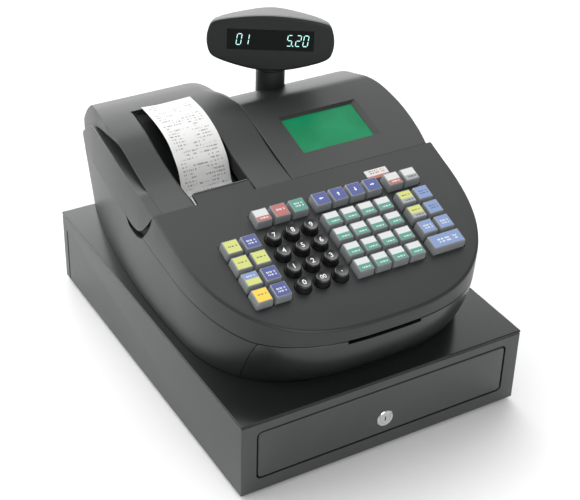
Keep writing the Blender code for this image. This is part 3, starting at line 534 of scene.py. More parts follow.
def printed(name, upper, lower, split, ink, rows):
    """Two printed colours, one above the other, with rows of small marks. It reads the piece's UV map."""
    material, tree, shader, _ = new_material(name)
    uv, across, up = uv_coordinates(tree)
    stops = [(0.0, lower), (split - 0.02, lower), (split + 0.02, upper), (1.0, upper)]
    colour = ramp(tree, up, stops)
    words = noise(tree, stretched(tree, uv, (9.0, 0.6, 1.0)), 1.6, 0.0)
    dashes = ramp(tree, words, [(0.46, NONE), (0.50, FULL)])
    sides = band(tree, across, 0.14, 0.16, 0.84, 0.86)
    for low, high in rows:
        strip = band(tree, up, low, low + 0.015, high, high + 0.015)
        colour = inked(tree, colour, ink, times(tree, dashes, strip, sides))
    feed(tree, shader, {"Base Color": colour, "Roughness": 0.35, "Coat Weight": 0.5, "Coat Roughness": 0.12})
    return material


CASE_BLACK = (0.014, 0.0158, 0.0160)
PLASTIC = grained("case_grain", CASE_BLACK, 0.42, 1300.0, 0.00004, 0.45, 0.10)
GLOSS = grained("front_sheen", (0.013, 0.0145, 0.0147), 0.38, 500.0, 0.000006, 0.25, 0.06, 0.0, 0.12, 0.6)
# A darker plastic for inner parts and joints. It is also painted shade: it darkens the printer cover's
# groove, the receipt's well, the paper chute and the mat between the keys, where shade falls.
DARK_PLASTIC_AND_SHADE = grained("inner_grain_and_shade", (0.005, 0.0056, 0.0058), 0.58, 1300.0, 0.00004, 0.45, specular=0.25)
# The cabinet's paint in two copies: the body's is set lighter than the lid's, which paints light onto its
# front and sides; the lid's copy is darker and glossier.
CABINET_LIGHTENED_PAINT = grained("cabinet_lightened_paint", (0.046, 0.049, 0.049), 0.42, 2100.0, 0.00004, 0.5, 0.08)
CABINET_TOP_PAINT = grained(
    "cabinet_top_paint", (0.012, 0.0135, 0.0135), 0.20, 2100.0, 0.00002, 0.35, 0.08, specular=0.3)
DRAWER_STEEL = grained("drawer_zinc", (0.22, 0.225, 0.23), 0.38, 900.0, 0.00002, 0.3, 0.15, 0.8)
RUBBER = grained("foot_grain", (0.012, 0.012, 0.012), 0.80, 700.0, 0.00006, 0.6)
CHROME = brushed("lock_brushed", (0.78, 0.79, 0.80), 0.16, (1.0, 1.0, 6.0))
CLIP_STEEL = brushed("clip_brushed", (0.60, 0.61, 0.62), 0.28, (8.0, 1.0, 1.0))
TRAY_PLASTIC = grained("tray_grain", (0.13, 0.135, 0.14), 0.50, 1100.0, 0.00005, 0.5)
BOARD = grained("board_lacquer", (0.015, 0.10, 0.045), 0.35, 240.0, 0.00003, 0.5, 0.5)
# The caps' clear plastic in two copies: a lighter one for the crowns, and a darker one for the walls, which
# is painted shade on the sides that face away from the light.
KEY_CLEAR = grained("cap_clear", (0.24, 0.255, 0.26), 0.16, 400.0, 0.00001, 0.15, 0.06, 0.0, 0.6)
KEY_SIDE_SHADE = grained("cap_skirt_shade", (0.075, 0.08, 0.083), 0.22, 400.0, 0.00001, 0.2, 0.10, 0.0, 0.5)
KEY_BLACK = grained("key_gloss", (0.012, 0.012, 0.013), 0.20, 900.0, 0.00001, 0.2, 0.1, 0.0, 0.4)
NUMERAL = grained("numeral_print", (0.86, 0.87, 0.87), 0.45, 2500.0, 0.00001, 0.2, 0.04)
BEZEL = grained("bezel_grain", (0.085, 0.088, 0.090), 0.50, 1500.0, 0.00003, 0.4)
WINDOW = grained("window_gloss", (0.0015, 0.002, 0.002), 0.35, 300.0, 0.000004, 0.1, 0.2, specular=0.15)
HEAD_BLACK = grained("head_grain", (0.007, 0.0085, 0.0088), 0.45, 1300.0, 0.00004, 0.4, 0.10, specular=0.4)


# ---------------------------------------------------------------- cabinet and drawer

LID_DROP, LID_GAP = 0.0038, 0.0005
SIDE_SEAM_Y, SIDE_SEAM_W, SIDE_SEAM_TOP, SIDE_SEAM_DEEP = 0.208, 0.0035, 0.072, 0.0007
RAIL_FACE, RAIL_SLOT_FACE, RAIL_SHORT = 0.1455, 0.1410, 0.012
RAIL_LOW, RAIL_HIGH, RAIL_FLANGE = 0.034, 0.052, 0.004
OPENING_MIDDLE = (OPENING_LOW + OPENING_HIGH) / 2
MIRRORS = (-1, 1)


def opening_outline(inset, y, more_inset=0.0):
    """The drawer opening's rounded outline, drawn in and placed at y."""
    grown = inset + more_inset
    half_w, half_h = OPENING_W / 2 - grown, (OPENING_HIGH - OPENING_LOW) / 2 - grown
    outline = rounded_rectangle(half_w, half_h, OPENING_R - grown, 8)
    return [(u, y, OPENING_MIDDLE + v) for u, v in outline]


def make_cabinet():
    half = CABINET_W / 2
    body_top = TOP - LID_DROP
    body = box("cabinet_body", (-half, FRONT, FOOT_H), (half, REAR, body_top), bevel=0.0009)
    inner_x, inner_y = half - STEEL, REAR - STEEL
    inside = box("inside", (-inner_x, -inner_y, FOOT_H + STEEL), (inner_x, inner_y, body_top + 0.01))
    mouth = loft("mouth", [opening_outline(0.0, y) for y in (FRONT - 0.01, FRONT + 0.01)])
    rails = []
    for sign in MIRRORS:
        left, right = sorted((sign * RAIL_FACE, sign * (inner_x + 0.0005)))
        rail = box("rail", (left, FRONT + RAIL_SHORT, RAIL_LOW), (right, REAR - RAIL_SHORT, RAIL_HIGH))
        left, right = sorted((sign * RAIL_SLOT_FACE, sign * (inner_x - 0.004)))
        slot_low, slot_high = RAIL_LOW + RAIL_FLANGE, RAIL_HIGH - RAIL_FLANGE
        rails.append(cut(rail, box("rail_slot", (left, FRONT, slot_low), (right, REAR, slot_high))))
    cut(body, inside, mouth)
    cut(body, *rails, operation="UNION")
    seams = []
    for sign in MIRRORS:
        left, right = sorted((sign * (half + 0.001), sign * (half - SIDE_SEAM_DEEP)))
        low = (left, SIDE_SEAM_Y - SIDE_SEAM_W / 2, FOOT_H + 0.002)
        seams.append(box("side_seam", low, (right, SIDE_SEAM_Y + SIDE_SEAM_W / 2, SIDE_SEAM_TOP)))
    cut(body, *seams)
    dress(soften(body), "register", CABINET_LIGHTENED_PAINT, ["cabinet"])

    lid_x, lid_y = half + 0.0002, REAR + 0.0002
    lid = box("cabinet_lid", (-lid_x, -lid_y, body_top + LID_GAP), (lid_x, lid_y, TOP), bevel=0.0011)
    cut(lid, box("lid_inside", (-inner_x, -inner_y, body_top - 0.01), (inner_x, inner_y, TOP - STEEL)))
    dress(soften(lid), "register", CABINET_TOP_PAINT)
    seat_x, seat_y = half - 0.001, REAR - 0.001
    seat = box("lid_seat", (-seat_x, -seat_y, body_top - 0.004), (seat_x, seat_y, body_top + LID_GAP + 0.001))
    cut(seat, box("seat_inside", (-inner_x, -inner_y, body_top - 0.01), (inner_x, inner_y, TOP)))
    dress(soften(seat), "register", DARK_PLASTIC_AND_SHADE)


def make_drawer_front():
    levels = ((0.0, 0.0007), (0.0002, 0.0003), (0.0007, 0.0), (PANEL_T, 0.0))
    rings = [opening_outline(PANEL_GAP, FRONT + depth, inset) for depth, inset in levels]
    panel = loft("drawer_panel", rings)
    half_w = OPENING_W / 2 - PANEL_GAP - STEEL
    half_h = (OPENING_HIGH - OPENING_LOW) / 2 - PANEL_GAP - STEEL
    back = box(
        "panel_back", (-half_w, FRONT + STEEL, OPENING_MIDDLE - half_h),
        (half_w, FRONT + PANEL_T + 0.01, OPENING_MIDDLE + half_h),
    )
    profile = [(0, 0), (0.0080, 0), (0.0080, 0.02), (0, 0.02)]
    cut(panel, back, turned("lock_hole", profile, lock_frame(FRONT - 0.005), 40))
    dress(soften(panel), "drawer", CABINET_LIGHTENED_PAINT, ["drawer_front"])


def lock_frame(y):
    """The lock's own frame: Z runs into the drawer from y."""
    return Matrix.Translation((0, y, LOCK_Z)) @ Matrix.Rotation(-math.pi / 2, 4, "X")


def make_lock():
    """A flanged cylinder lock: rounded flange, plug with a keyhole, and two wrench notches."""
    face = FRONT - GAP - 0.0012
    profile = [
        (0.0, 0.0004), (0.0052, 0.0004), (0.0054, 0.0007), (0.0058, 0.0007), (0.0060, 0.0002),
        (0.0072, 0.0), (0.0088, 0.0002), (LOCK_R, 0.0009), (LOCK_R, 0.0012), (0.0077, 0.0012),
        (0.0077, 0.0110), (0.0, 0.0110),
    ]
    lock = turned("lock_cylinder", profile, lock_frame(face), 64)
    half_w, half_h = 0.0007, 0.0030
    low, high = (-half_w, face - 0.001, LOCK_Z - half_h), (half_w, face + 0.005, LOCK_Z + half_h)
    cut(lock, box("keyhole", low, high))
    reach, half = 0.0083, 0.0013
    for turn in (math.radians(40), math.radians(152)):
        x, z = reach * math.cos(turn), LOCK_Z + reach * math.sin(turn)
        cut(lock, box("notch", (x - half, face - 0.001, z - half), (x + half, face + 0.0007, z + half)))
    cam_low, cam_high = (-0.004, face + 0.0086, LOCK_Z - 0.004), (0.004, face + 0.0105, LOCK_Z + 0.022)
    cut(lock, box("lock_cam_blade", cam_low, cam_high, bevel=0.0004), operation="UNION")
    dress(soften(lock), "drawer_lock", CHROME, ["drawer_lock"])


# ---------------------------------------------------------------- lower casing

SHELL_HEIGHTS = [0.098, 0.105, 0.112, 0.119, 0.126, 0.133, 0.139, 0.145]
CORD_PLACE, CORD_HOLE_R = (0.110, REAR - 0.02, 0.125), 0.0062
FINGER_CUT_X = -0.150


def make_lower_casing():
    top_of_base = PARTING_LINE + [(0.200, 0.177), (0.25, 0.177)]

    def rim(y):
        return along(top_of_base, y) - GAP

    levels = [(flat(CASE_BOTTOM), 0.0008), (flat(CASE_BOTTOM + 0.0008), 0.0)]
    levels += [(flat(z), 0.0) for z in SHELL_HEIGHTS]
    levels += [(lambda y: rim(y) - 0.0006, 0.0), (rim, SEAM_BEVEL)]
    inner = [(flat(z), WALL) for z in [CASE_BOTTOM + WALL] + SHELL_HEIGHTS[1:] + [SEAM_Z, 0.26]]
    reach = SEAM_Z + 0.03 - CASE_BOTTOM
    for name, keeps_rear in (("lower_shell", True), ("front_shell", False)):
        shell = casing(name, levels)
        cut(shell, casing("inner", inner))
        foot = FRONT_COVER_Y + (-0.0003 if keeps_rear else -0.0009)
        front_share = [
            (-0.26, CASE_BOTTOM - 0.02), (foot - FRONT_COVER_LEAN * 0.02, CASE_BOTTOM - 0.02),
            (foot + FRONT_COVER_LEAN * reach, SEAM_Z + 0.03), (-0.26, SEAM_Z + 0.03),
        ]
        share = prism("share", front_share, -FAR, FAR)
        cut(shell, share, operation="DIFFERENCE" if keeps_rear else "INTERSECT")
        if keeps_rear:
            rearward = Matrix.Translation(CORD_PLACE) @ Matrix.Rotation(-math.pi / 2, 4, "X")
            cord_hole = [(0, 0), (CORD_HOLE_R, 0), (CORD_HOLE_R, 0.04), (0, 0.04)]
            cut(shell, turned("cord_hole", cord_hole, rearward, 32))
            cut(shell, prism("finger_cut", TONGUE_END + FINGER_EDGE[-2:0:-1], -FAR, FINGER_CUT_X))
            dress(soften(shell), "register", PLASTIC, ["base_case"])
        else:
            left, right, height = CARD_SLOT
            cut(shell, box("slot", (left, -0.25, SEAM_Z - height), (right, -0.19, SEAM_Z + 0.01)))
            dress(soften(shell), "register", GLOSS, ["front_cover"])


# ---------------------------------------------------------------- upper casing

def deck_hole(name, xs, low, high):
    half = KEY_BASE / 2 + HOLE_GAP
    middle = ((min(xs) + max(xs)) / 2, -(low + high) / 2)
    half_w, half_h = (max(xs) - min(xs)) / 2 + half, (high - low) / 2 + half
    return slab(name, half_w, half_h, 0.0012, [(-0.03, 0), (0.03, 0)], DECK, middle, 3)


def key_place(x, s):
    """The frame of a key: on the deck, Z out of it and Y up the slope."""
    return DECK @ Matrix.Translation((x, -s, 0))


def make_upper_casing():
    def rim(y):
        return parting_z(y) + GAP

    levels = [(rim, SEAM_BEVEL), (lambda y: rim(y) + 0.0006, 0.0)]
    levels.append((lambda y: min(max(SIDE_FULL_Z, rim(y) + 0.001), deck_z(y) - EDGE_R - 0.0005), 0.0))
    for step in range(EDGE_STEPS + 1):
        turn = math.pi / 2 * step / EDGE_STEPS
        drop, inset = EDGE_R * (1 - math.sin(turn)), EDGE_R * (1 - math.cos(turn))
        levels.append((lambda y, drop=drop: deck_z(y) - drop, inset))
    shell = casing("upper_shell", levels)

    drop = WALL / math.cos(DECK_TILT)
    inside = casing("inside", [(flat(0.12), WALL), (flat(SEAM_Z), WALL), (lambda y: deck_z(y) - drop, WALL)])
    cut(shell, inside)
    finger = [point for point in FINGER_EDGE if point[0] < -0.004]
    left_share = [(DECK_BACK_Y, HIGH), (DECK_BACK_Y, 0.2238)] + finger
    left_share += [(0.0, 0.15), (0.25, 0.15), (0.25, HIGH)]
    behind_left = prism("behind_left", left_share, -FAR, COVER_SPLIT_X)
    tab_left, tab_right, tab_back = TEAR_TAB
    cut(behind_left, box("tear_tab", (tab_left, -0.05, 0.19), (tab_right, tab_back, 0.34)))
    cut(shell, behind_left)
    cut(shell, box("behind_right", (COVER_SPLIT_X - 0.001, DECK_BACK_Y, 0.1), (FAR, 0.25, HIGH)))
    holes = [deck_hole("hole", xs, ROW_S[0], ROW_S[-1]) for xs in (LEFT_X, DEPARTMENT_X, RIGHT_X)]
    holes += [deck_hole("hole", xs, TOP_ROW_S, TOP_ROW_S) for xs in (NUMBER_X, FUNCTION_X, RIGHT_X)]
    for s in ROW_S:
        for x in NUMBER_X:
            radius = NUMBER_R + HOLE_GAP
            profile = [(0, -0.03), (radius, -0.03), (radius, 0.03), (0, 0.03)]
            holes.append(turned("hole", profile, key_place(x, s), 32))
    cut(shell, *holes)
    dress(soften(shell), "register", PLASTIC, ["upper_case"])


# ---------------------------------------------------------------- rear covers

FINE_STEP, COARSE_STEP, CORNER_STEPS = 0.001, 0.0035, 7
SHOULDER_START_Y, SHOULDER_MOST, SHOULDER_LEAST, SHOULDER_SPREAD = 0.060, 0.017, 0.0006, 1.55
CREASE_R, LEDGE_EDGE_R = 0.0009, 0.0014
PANEL_EDGE_R, REAR_EDGE_R, EDGE_TURNS = 0.0028, 0.0113, (0.055, 0.095)


def stations():
    """Places from front to back, closer together where the covers turn."""
    places = [DECK_BACK_Y + GAP]
    while places[-1] < REAR - REAR_CORNER_R - 0.004:
        near_ridge = abs(places[-1] - PANEL_RIDGE_Y) < 0.008 or places[-1] < -0.030
        places.append(places[-1] + (FINE_STEP if near_ridge else COARSE_STEP))
    for step in range(1, CORNER_STEPS + 1):
        places.append(REAR - REAR_CORNER_R + REAR_CORNER_R * math.sin(math.pi / 2 * step / CORNER_STEPS))
    return places


def quarter(centre, across, up, start_turn, steps):
    """Points on a quarter ellipse in a cross-section, from straight up when start_turn is 90."""
    points = []
    for step in range(steps + 1):
        turn = math.radians(start_turn + 90 * step / steps)
        points.append((centre[0] + across * math.cos(turn), centre[1] + up * math.sin(turn)))
    return points


def crease_x(y):
    """Where the dome's left edge runs: straight, until the casing's side comes in to it."""
    return max(CREASE_X, LEDGE_LEAST - side_x(y))


def printer_section(y, wall=0.0):
    """The printer cover's cross-section, from the split round to the flank."""
    top = dome_z(y) - wall
    split = COVER_SPLIT_X - GAP - wall
    shelf = min(along(LEDGE_LINE, y) - wall, top - 0.0006)
    over = max(0.0, dome_z(y) - display_z(y)) if y > SHOULDER_START_Y else 0.0
    shoulder = max(min(over, SHOULDER_MOST), SHOULDER_LEAST)
    reach = shoulder * SHOULDER_SPREAD
    points = [(split, FLOOR_CUT)] + quarter((split - reach, top - shoulder), reach, shoulder, 0, 10)
    crease = crease_x(y) + rear_corner(y) + 5 * wall
    for share in (0.25, 0.5, 0.75):
        start = split - reach
        points.append((start + (crease + 0.002 - start) * share, top))
    radius = min(CREASE_R, (top - shelf) * 0.4)
    points += quarter((crease + radius, top - radius), radius, radius, 90, 4)
    part = min(max((y - GROOVE_FRONT) / (GROOVE_REAR - GROOVE_FRONT), 0.0), 1.0)
    deep = max(GROOVE_DEPTH * math.sin(math.pi * part) ** 0.7, 0.00004) if wall == 0 else 0.00004
    turn_z = max(min(top - along(FACET, y), top - radius - 0.0001), shelf + 0.0003)
    for step in range(1, 7):
        share = step / 6
        x = crease + deep * math.sin(math.pi / 2 * share)
        points.append((x, turn_z + (shelf + 0.0002 - turn_z) * share ** 1.3))
    points.append((crease - 0.0006, shelf))
    edge = min(-(flank_x(y, shelf) - wall - rear_corner(y, wall)), crease - 0.0017)
    radius = LEDGE_EDGE_R
    points += quarter((edge + radius, shelf - radius), radius, radius, 90, 5)
    for z in (SIDE_FULL_Z, FLOOR_CUT):
        lower = -(flank_x(y, z) - wall - rear_corner(y, wall))
        points.append((lower, min(z, shelf - 0.003)))
    return [(x, y, z) for x, z in points]


def display_section(y, wall=0.0):
    """The display cover's cross-section, from the split round to the right flank."""
    top = display_z(y) - wall
    split = COVER_SPLIT_X + wall
    edge = along(PANEL_EDGE, y) - wall - rear_corner(y, wall)
    radius = PANEL_EDGE_R + (REAR_EDGE_R - PANEL_EDGE_R) * ease(*EDGE_TURNS, y)
    radius = min(radius, top - 0.190) if top > 0.192 else 0.002
    points = [(split, FLOOR_CUT), (split, top - 0.0005), (split + 0.0005, top)]
    for share in (0.33, 0.66):
        points.append((split + (edge - radius - split) * share, top))
    points += reversed(quarter((edge - radius, top - radius), radius, radius, 0, 8))
    lean_top = top - radius
    for share in (0.35, 0.7, 1.0):
        z = lean_top + (parting_z(y) - lean_top) * share
        x = edge + (flank_x(y, z) - wall - rear_corner(y, wall) - edge) * ease(0, 1, share)
        points.append((x, z))
    points.append((points[-1][0], FLOOR_CUT))
    return [(x, y, z) for x, z in points]


def cover_shell(name, section, floor_line):
    shell = loft(name, [section(y) for y in stations()])
    inner_places = [y - WALL for y in stations()]
    inner_places[0] = DECK_BACK_Y - 0.01
    inside = loft("inside", [section(y, WALL) for y in inner_places])
    cut(shell, below(floor_line, "floor"))
    cut(shell, inside)
    return shell


def make_printer_cover():
    floor_line = [(-0.05, 0.2230)] + TONGUE_END
    floor_line += [(0.15, 0.1907), (0.195, 0.1814), (0.200, 0.180), (0.25, 0.180)]
    shell = cover_shell("printer_shell", printer_section, floor_line)
    left, right, front, back = COVER_OPENING
    rings = []
    for step in range(25):
        y = front - 0.03 + (back - front + 0.03) * step / 24
        top = dome_z(max(y, DECK_BACK_Y))
        ring = [(right, y, top + 0.02), (right, y, top - 0.06), (left - LIP_BOW, y, top - 0.06)]
        lip = left - LIP_BOW * math.sin(math.pi * min(max((y + 0.024) / (back + 0.024), 0.0), 1.0)) ** 0.8
        for part in range(7):
            turn = math.radians(90 * part / 6)
            x, z = lip - LIP_ROLL + LIP_ROLL * math.cos(turn), top - LIP_ROLL + LIP_ROLL * math.sin(turn)
            ring.append((x, y, z))
        ring.append((lip - LIP_ROLL, y, top + 0.02))
        rings.append(ring)
    cut(shell, loft("opening", rings))
    soften(shell)
    dress(shell, "printer_cover", [PLASTIC, DARK_PLASTIC_AND_SHADE], ["printer_cover"])
    # Painted shade: the groove's faces under the crease take the darker plastic, which stands in for the
    # shadow in the groove.
    for polygon in shell.data.polygons:
        x, y, z = polygon.center
        inside = crease_x(y) + 0.0010 < x < crease_x(y) + GROOVE_DEPTH + 0.0002
        on_shaded_wall = along(LEDGE_LINE, y) + 0.0004 < z < dome_z(y) - along(FACET, y) - 0.0004
        polygon.material_index = 1 if inside and on_shaded_wall and GROOVE_FRONT < y < GROOVE_REAR else 0


def lcd_rectangle(z, insets=(0, 0, 0, 0)):
    """The display recess in the panel's frame, with its four sides drawn in."""
    left, right, front, back = LCD_RECESS
    slope = math.cos(PANEL_TILT)
    left, right = left + insets[0], right - insets[1]
    low, high = (front - DECK_BACK_Y) / slope + insets[2], (back - DECK_BACK_Y) / slope - insets[3]
    return [(left, low, z), (right, low, z), (right, high, z), (left, high, z)]


def make_display_cover():
    floor_line = [(-0.05, 0.1776)] + [(y, z + GAP) for y, z in smooth_line(PARTING[2:5], 4)]
    floor_line += [(0.195, 0.1812), (0.200, 0.1797), (0.25, 0.1797)]
    shell = cover_shell("display_shell", display_section, floor_line)
    rings = [lcd_rectangle(0.02), lcd_rectangle(-0.0001), lcd_rectangle(-0.0028, LCD_WALLS)]
    cut(shell, loft("recess", rings + [lcd_rectangle(-0.02, LCD_WALLS)], PANEL))
    radius = POLE_R + 0.0006
    profile = [(0, 0.15), (radius, 0.15), (radius, 0.35), (0, 0.35)]
    cut(shell, turned("pole_hole", profile, UPRIGHT))
    dress(soften(shell), "register", PLASTIC, ["display_cover"])


def lcd_glow():
    """A lit green display, with a slow drift of brightness."""
    material, tree, shader, place = new_material("lcd_lit")
    drift = noise(tree, place, 26.0, 3.0)
    tone = ramp(tree, drift, [(0.35, (0.002, 0.135, 0.052)), (0.65, (0.003, 0.165, 0.068))])
    feed(tree, shader, {
        "Base Color": tone, "Emission Color": tone, "Emission Strength": 0.60,
        "Roughness": 0.30, "Specular IOR Level": 0.12,
    })
    bump(tree, shader, noise(tree, place, 1600.0), 0.25, 0.00001)
    return material


def make_operator_display():
    """The glass in its recess, a little larger than the recess's floor."""
    margin = 0.0016
    (left, low, _), _, (right, high, _), _ = lcd_rectangle(0, LCD_WALLS)
    levels = [(-0.0048, 0), (-0.0031, 0), (-0.0030, 0.0001)]
    half_w, half_h = (right - left) / 2 + margin, (high - low) / 2 + margin
    glass = slab("lcd_pane", half_w, half_h, 0.001, levels, PANEL, ((left + right) / 2, (low + high) / 2))
    dress(soften(glass), "register", lcd_glow(), ["lcd_glass"])


# ---------------------------------------------------------------- printer and receipt

PRINT_PITCH = 0.0040


def receipt_print():
    """Thermal paper with rows of faint marks across its width. It reads the piece's UV map, V in metres."""
    material, tree, shader, _ = new_material("receipt_print")
    uv, across, up = uv_coordinates(tree)
    row = add_node(tree, "Math", {0: times(tree, up, 1 / PRINT_PITCH)}, operation="FRACT").outputs["Value"]
    line = band(tree, row, 0.22, 0.30, 0.66, 0.74)
    marks = noise(tree, stretched(tree, uv, (34.0, 90.0, 1.0)), 1.0, 1.0)
    dashes = ramp(tree, marks, [(0.47, NONE), (0.53, FULL)])
    blocks = noise(tree, stretched(tree, uv, (3.2, 180.0, 1.0)), 1.0, 0.0)
    words = ramp(tree, blocks, [(0.44, NONE), (0.50, FULL)])
    margin = band(tree, across, 0.08, 0.10, 0.90, 0.92)
    amount = times(tree, line, dashes, words, margin)
    paper, ink = (0.80, 0.80, 0.79, 1), (0.34, 0.34, 0.36)
    feed(tree, shader, {"Base Color": inked(tree, paper, ink, amount), "Roughness": 0.7})
    return material


def uv_box(piece, fields):
    """Gives a mesh UVs from a function of each vertex's place."""
    layer = piece.data.uv_layers.new(name="UVMap")
    for loop in piece.data.loops:
        layer.data[loop.index].uv = fields(piece.data.vertices[loop.vertex_index].co)


PAPER_T, PAPER_STRIPS = 0.00016, 16
BOW_DEPTH, RIPPLE_DEPTH = 0.0009, 0.0002


def make_receipt():
    """The printed slip: it rises from the tear edge, curls back over the cover and bows a little across."""
    line = smooth_line(RECEIPT, 8)
    lengths = [0.0]
    for (y0, z0), (y1, z1) in zip(line, line[1:]):
        lengths.append(lengths[-1] + math.hypot(y1 - y0, z1 - z0))
    work = bmesh.new()
    uv = work.loops.layers.uv.new("UVMap")
    grid = {}
    for i, (y, z) in enumerate(line):
        ahead, behind = Vector(line[min(i + 1, len(line) - 1)]), Vector(line[max(i - 1, 0)])
        run = (ahead - behind).normalized()
        share = lengths[i] / lengths[-1]
        for j in range(PAPER_STRIPS + 1):
            u = j / PAPER_STRIPS
            bow = BOW_DEPTH * (4 * (u - 0.5) ** 2) * ease(0.30, 0.7, share)
            ripple = RIPPLE_DEPTH * math.sin(9 * u + 14 * share)
            lift = (bow + ripple) * ease(0.25, 0.45, share)
            x = PAPER_LEFT + (PAPER_RIGHT - PAPER_LEFT) * u
            for side, offset in (("top", 0.0), ("under", PAPER_T)):
                spot = (x, y + run.y * (offset - lift), z - run.x * (offset - lift))
                grid[side, i, j] = (work.verts.new(spot), (u, lengths[i]))

    def face(*keys):
        made = work.faces.new([grid[key][0] for key in keys])
        for loop, key in zip(made.loops, keys):
            loop[uv].uv = grid[key][1]

    last = len(line) - 1
    for i in range(last):
        for j in range(PAPER_STRIPS):
            face(("top", i, j), ("top", i, j + 1), ("top", i + 1, j + 1), ("top", i + 1, j))
            face(("under", i, j), ("under", i + 1, j), ("under", i + 1, j + 1), ("under", i, j + 1))
        face(("top", i, 0), ("top", i + 1, 0), ("under", i + 1, 0), ("under", i, 0))
        j = PAPER_STRIPS
        face(("top", i, j), ("under", i, j), ("under", i + 1, j), ("top", i + 1, j))
    for j in range(PAPER_STRIPS):
        face(("top", 0, j), ("under", 0, j), ("under", 0, j + 1), ("top", 0, j + 1))
        face(("top", last, j), ("top", last, j + 1), ("under", last, j + 1), ("under", last, j))
    slip = add("receipt_slip", finished("receipt_slip", work))
    dress(soften(slip), "register", receipt_print(), ["receipt"])


FINGER_RECESS = [
    (-0.0350, 0.2120), (-0.0250, 0.1940), (-0.0080, 0.1760), (0.0380, 0.1740), (0.0380, 0.1960),
    (0.0, 0.2120),
]
WELL_FRONT, WELL_DEEP, WELL_UNDER = -0.018, 0.016, 0.0030


def make_printer_parts():
    """The walls of the receipt's well, the tear edge, and the dark backing behind two openings."""
    left, right, _, back = COVER_OPENING
    walls = (("left", left - 0.0075, left - 0.0055), ("right", right + 0.0002, right + 0.0018))
    for side, x0, x1 in walls:
        rings = []
        for step in range(13):
            y = WELL_FRONT + (back - 0.004 - WELL_FRONT) * step / 12
            top = dome_z(y) - WELL_UNDER
            low = top - WELL_DEEP
            rings.append([(x0, y, low), (x1, y, low), (x1, y, top), (x0, y, top)])
        well = loft("receipt_well_" + side, rings)
        # Painted shade: the well's walls take the darker plastic, which stands in for the shade in the
        # receipt's well.
        dress(soften(well), "printer_cover", DARK_PLASTIC_AND_SHADE)
    tab_left, tab_right, tab_back = TEAR_TAB
    z = deck_z(tab_back) - 0.0004
    low, high = (tab_left + 0.002, tab_back - 0.0004, z), (tab_right - 0.001, tab_back + 0.0009, z + 0.0012)
    blade = box("tear_blade", low, high, bevel=0.0003)
    dress(soften(blade), "register", BEZEL)
    backings = (
        ("finger_recess", FINGER_RECESS, -0.1600, -0.1580),
        ("rear_seam_lip", REAR_SEAM_LIP, -0.1280, -0.0400),
    )
    for name, profile, x0, x1 in backings:
        dress(soften(prism(name, profile, x0, x1)), "register", DARK_PLASTIC_AND_SHADE)


# ---------------------------------------------------------------- keys

WHITE, YELLOW, DEEP_YELLOW = (0.62, 0.64, 0.63), (0.56, 0.60, 0.14), (0.86, 0.56, 0.03)
BLUE, SKY, TEAL = (0.032, 0.055, 0.26), (0.17, 0.26, 0.50), (0.03, 0.26, 0.19)
RED, GREY, GREEN = (0.42, 0.10, 0.09), (0.30, 0.32, 0.34), (0.05, 0.27, 0.20)
INK = (0.05, 0.05, 0.09)


# Each insert: the upper and lower colour, where they meet, the marks' colour, and the rows of marks
INSERTS = {
    "yellow": (YELLOW, YELLOW, 0.5, INK, [(0.46, 0.56)]),
    "blue": (BLUE, BLUE, 0.5, WHITE, [(0.50, 0.64), (0.28, 0.40)]),
    "sky": (SKY, SKY, 0.5, WHITE, [(0.50, 0.64), (0.28, 0.40)]),
    "sky_label": (SKY, SKY, 0.5, INK, [(0.56, 0.66), (0.34, 0.44)]),
    "split": (SKY, YELLOW, 0.50, WHITE, [(0.66, 0.78)]),
    "orange": (DEEP_YELLOW, DEEP_YELLOW, 0.5, INK, [(0.50, 0.60)]),
    "red_label": (WHITE, RED, 0.40, WHITE, [(0.14, 0.28)]),
    "red": (RED, RED, 0.5, WHITE, [(0.46, 0.62)]),
    "teal": (TEAL, TEAL, 0.5, WHITE, [(0.56, 0.70), (0.32, 0.46)]),
    "mode": (WHITE, GREY, 0.42, INK, [(0.16, 0.30)]),
    "memo": (YELLOW, GREY, 0.36, INK, [(0.12, 0.22), (0.60, 0.70)]),
    "department": (WHITE, GREEN, 0.50, WHITE, [(0.14, 0.26)]),
    "arrow": (BLUE, BLUE, 0.5, WHITE, []),
}
CAP_LEVELS = [
    (-KEY_DOWN, 0.0), (0.0012, 0.0), (0.0055, 0.0008), (KEY_UP - 0.0010, 0.0011), (KEY_UP - 0.0004, 0.0013),
    (KEY_UP - 0.0001, 0.0016), (KEY_UP, 0.0019),
]
POCKET_RIM, INSERT_RIM = 0.0020, 0.0021
INSERT_SINK = 0.00022


def key_cap(name, width):
    """A clear cap with round corners and a shallow pocket in its crown for the insert."""
    cap = slab(name, width / 2, KEY_BASE / 2, 0.0018, CAP_LEVELS, steps=4)
    levels = [(KEY_UP - INSERT_SINK, 0), (KEY_UP + 0.001, 0)]
    pocket = slab("pocket", width / 2 - POCKET_RIM, KEY_BASE / 2 - POCKET_RIM, 0.0007, levels, steps=3)
    return cut(cap, pocket)


def key_insert(name, width):
    half_w, half_h = width / 2 - INSERT_RIM, KEY_BASE / 2 - INSERT_RIM
    levels = [(KEY_UP - INSERT_SINK - 0.0001, 0), (KEY_UP - 0.00008, 0)]
    insert = slab(name, half_w, half_h, 0.0006, levels, steps=3)
    uv_box(insert, lambda co: (0.5 + co.x / (2 * half_w), 0.5 + co.y / (2 * half_h)))
    return insert


def place_copy(source, name, matrix):
    piece = add(name, source.data.copy())
    piece.data.transform(matrix)
    piece.data.name = name
    return piece


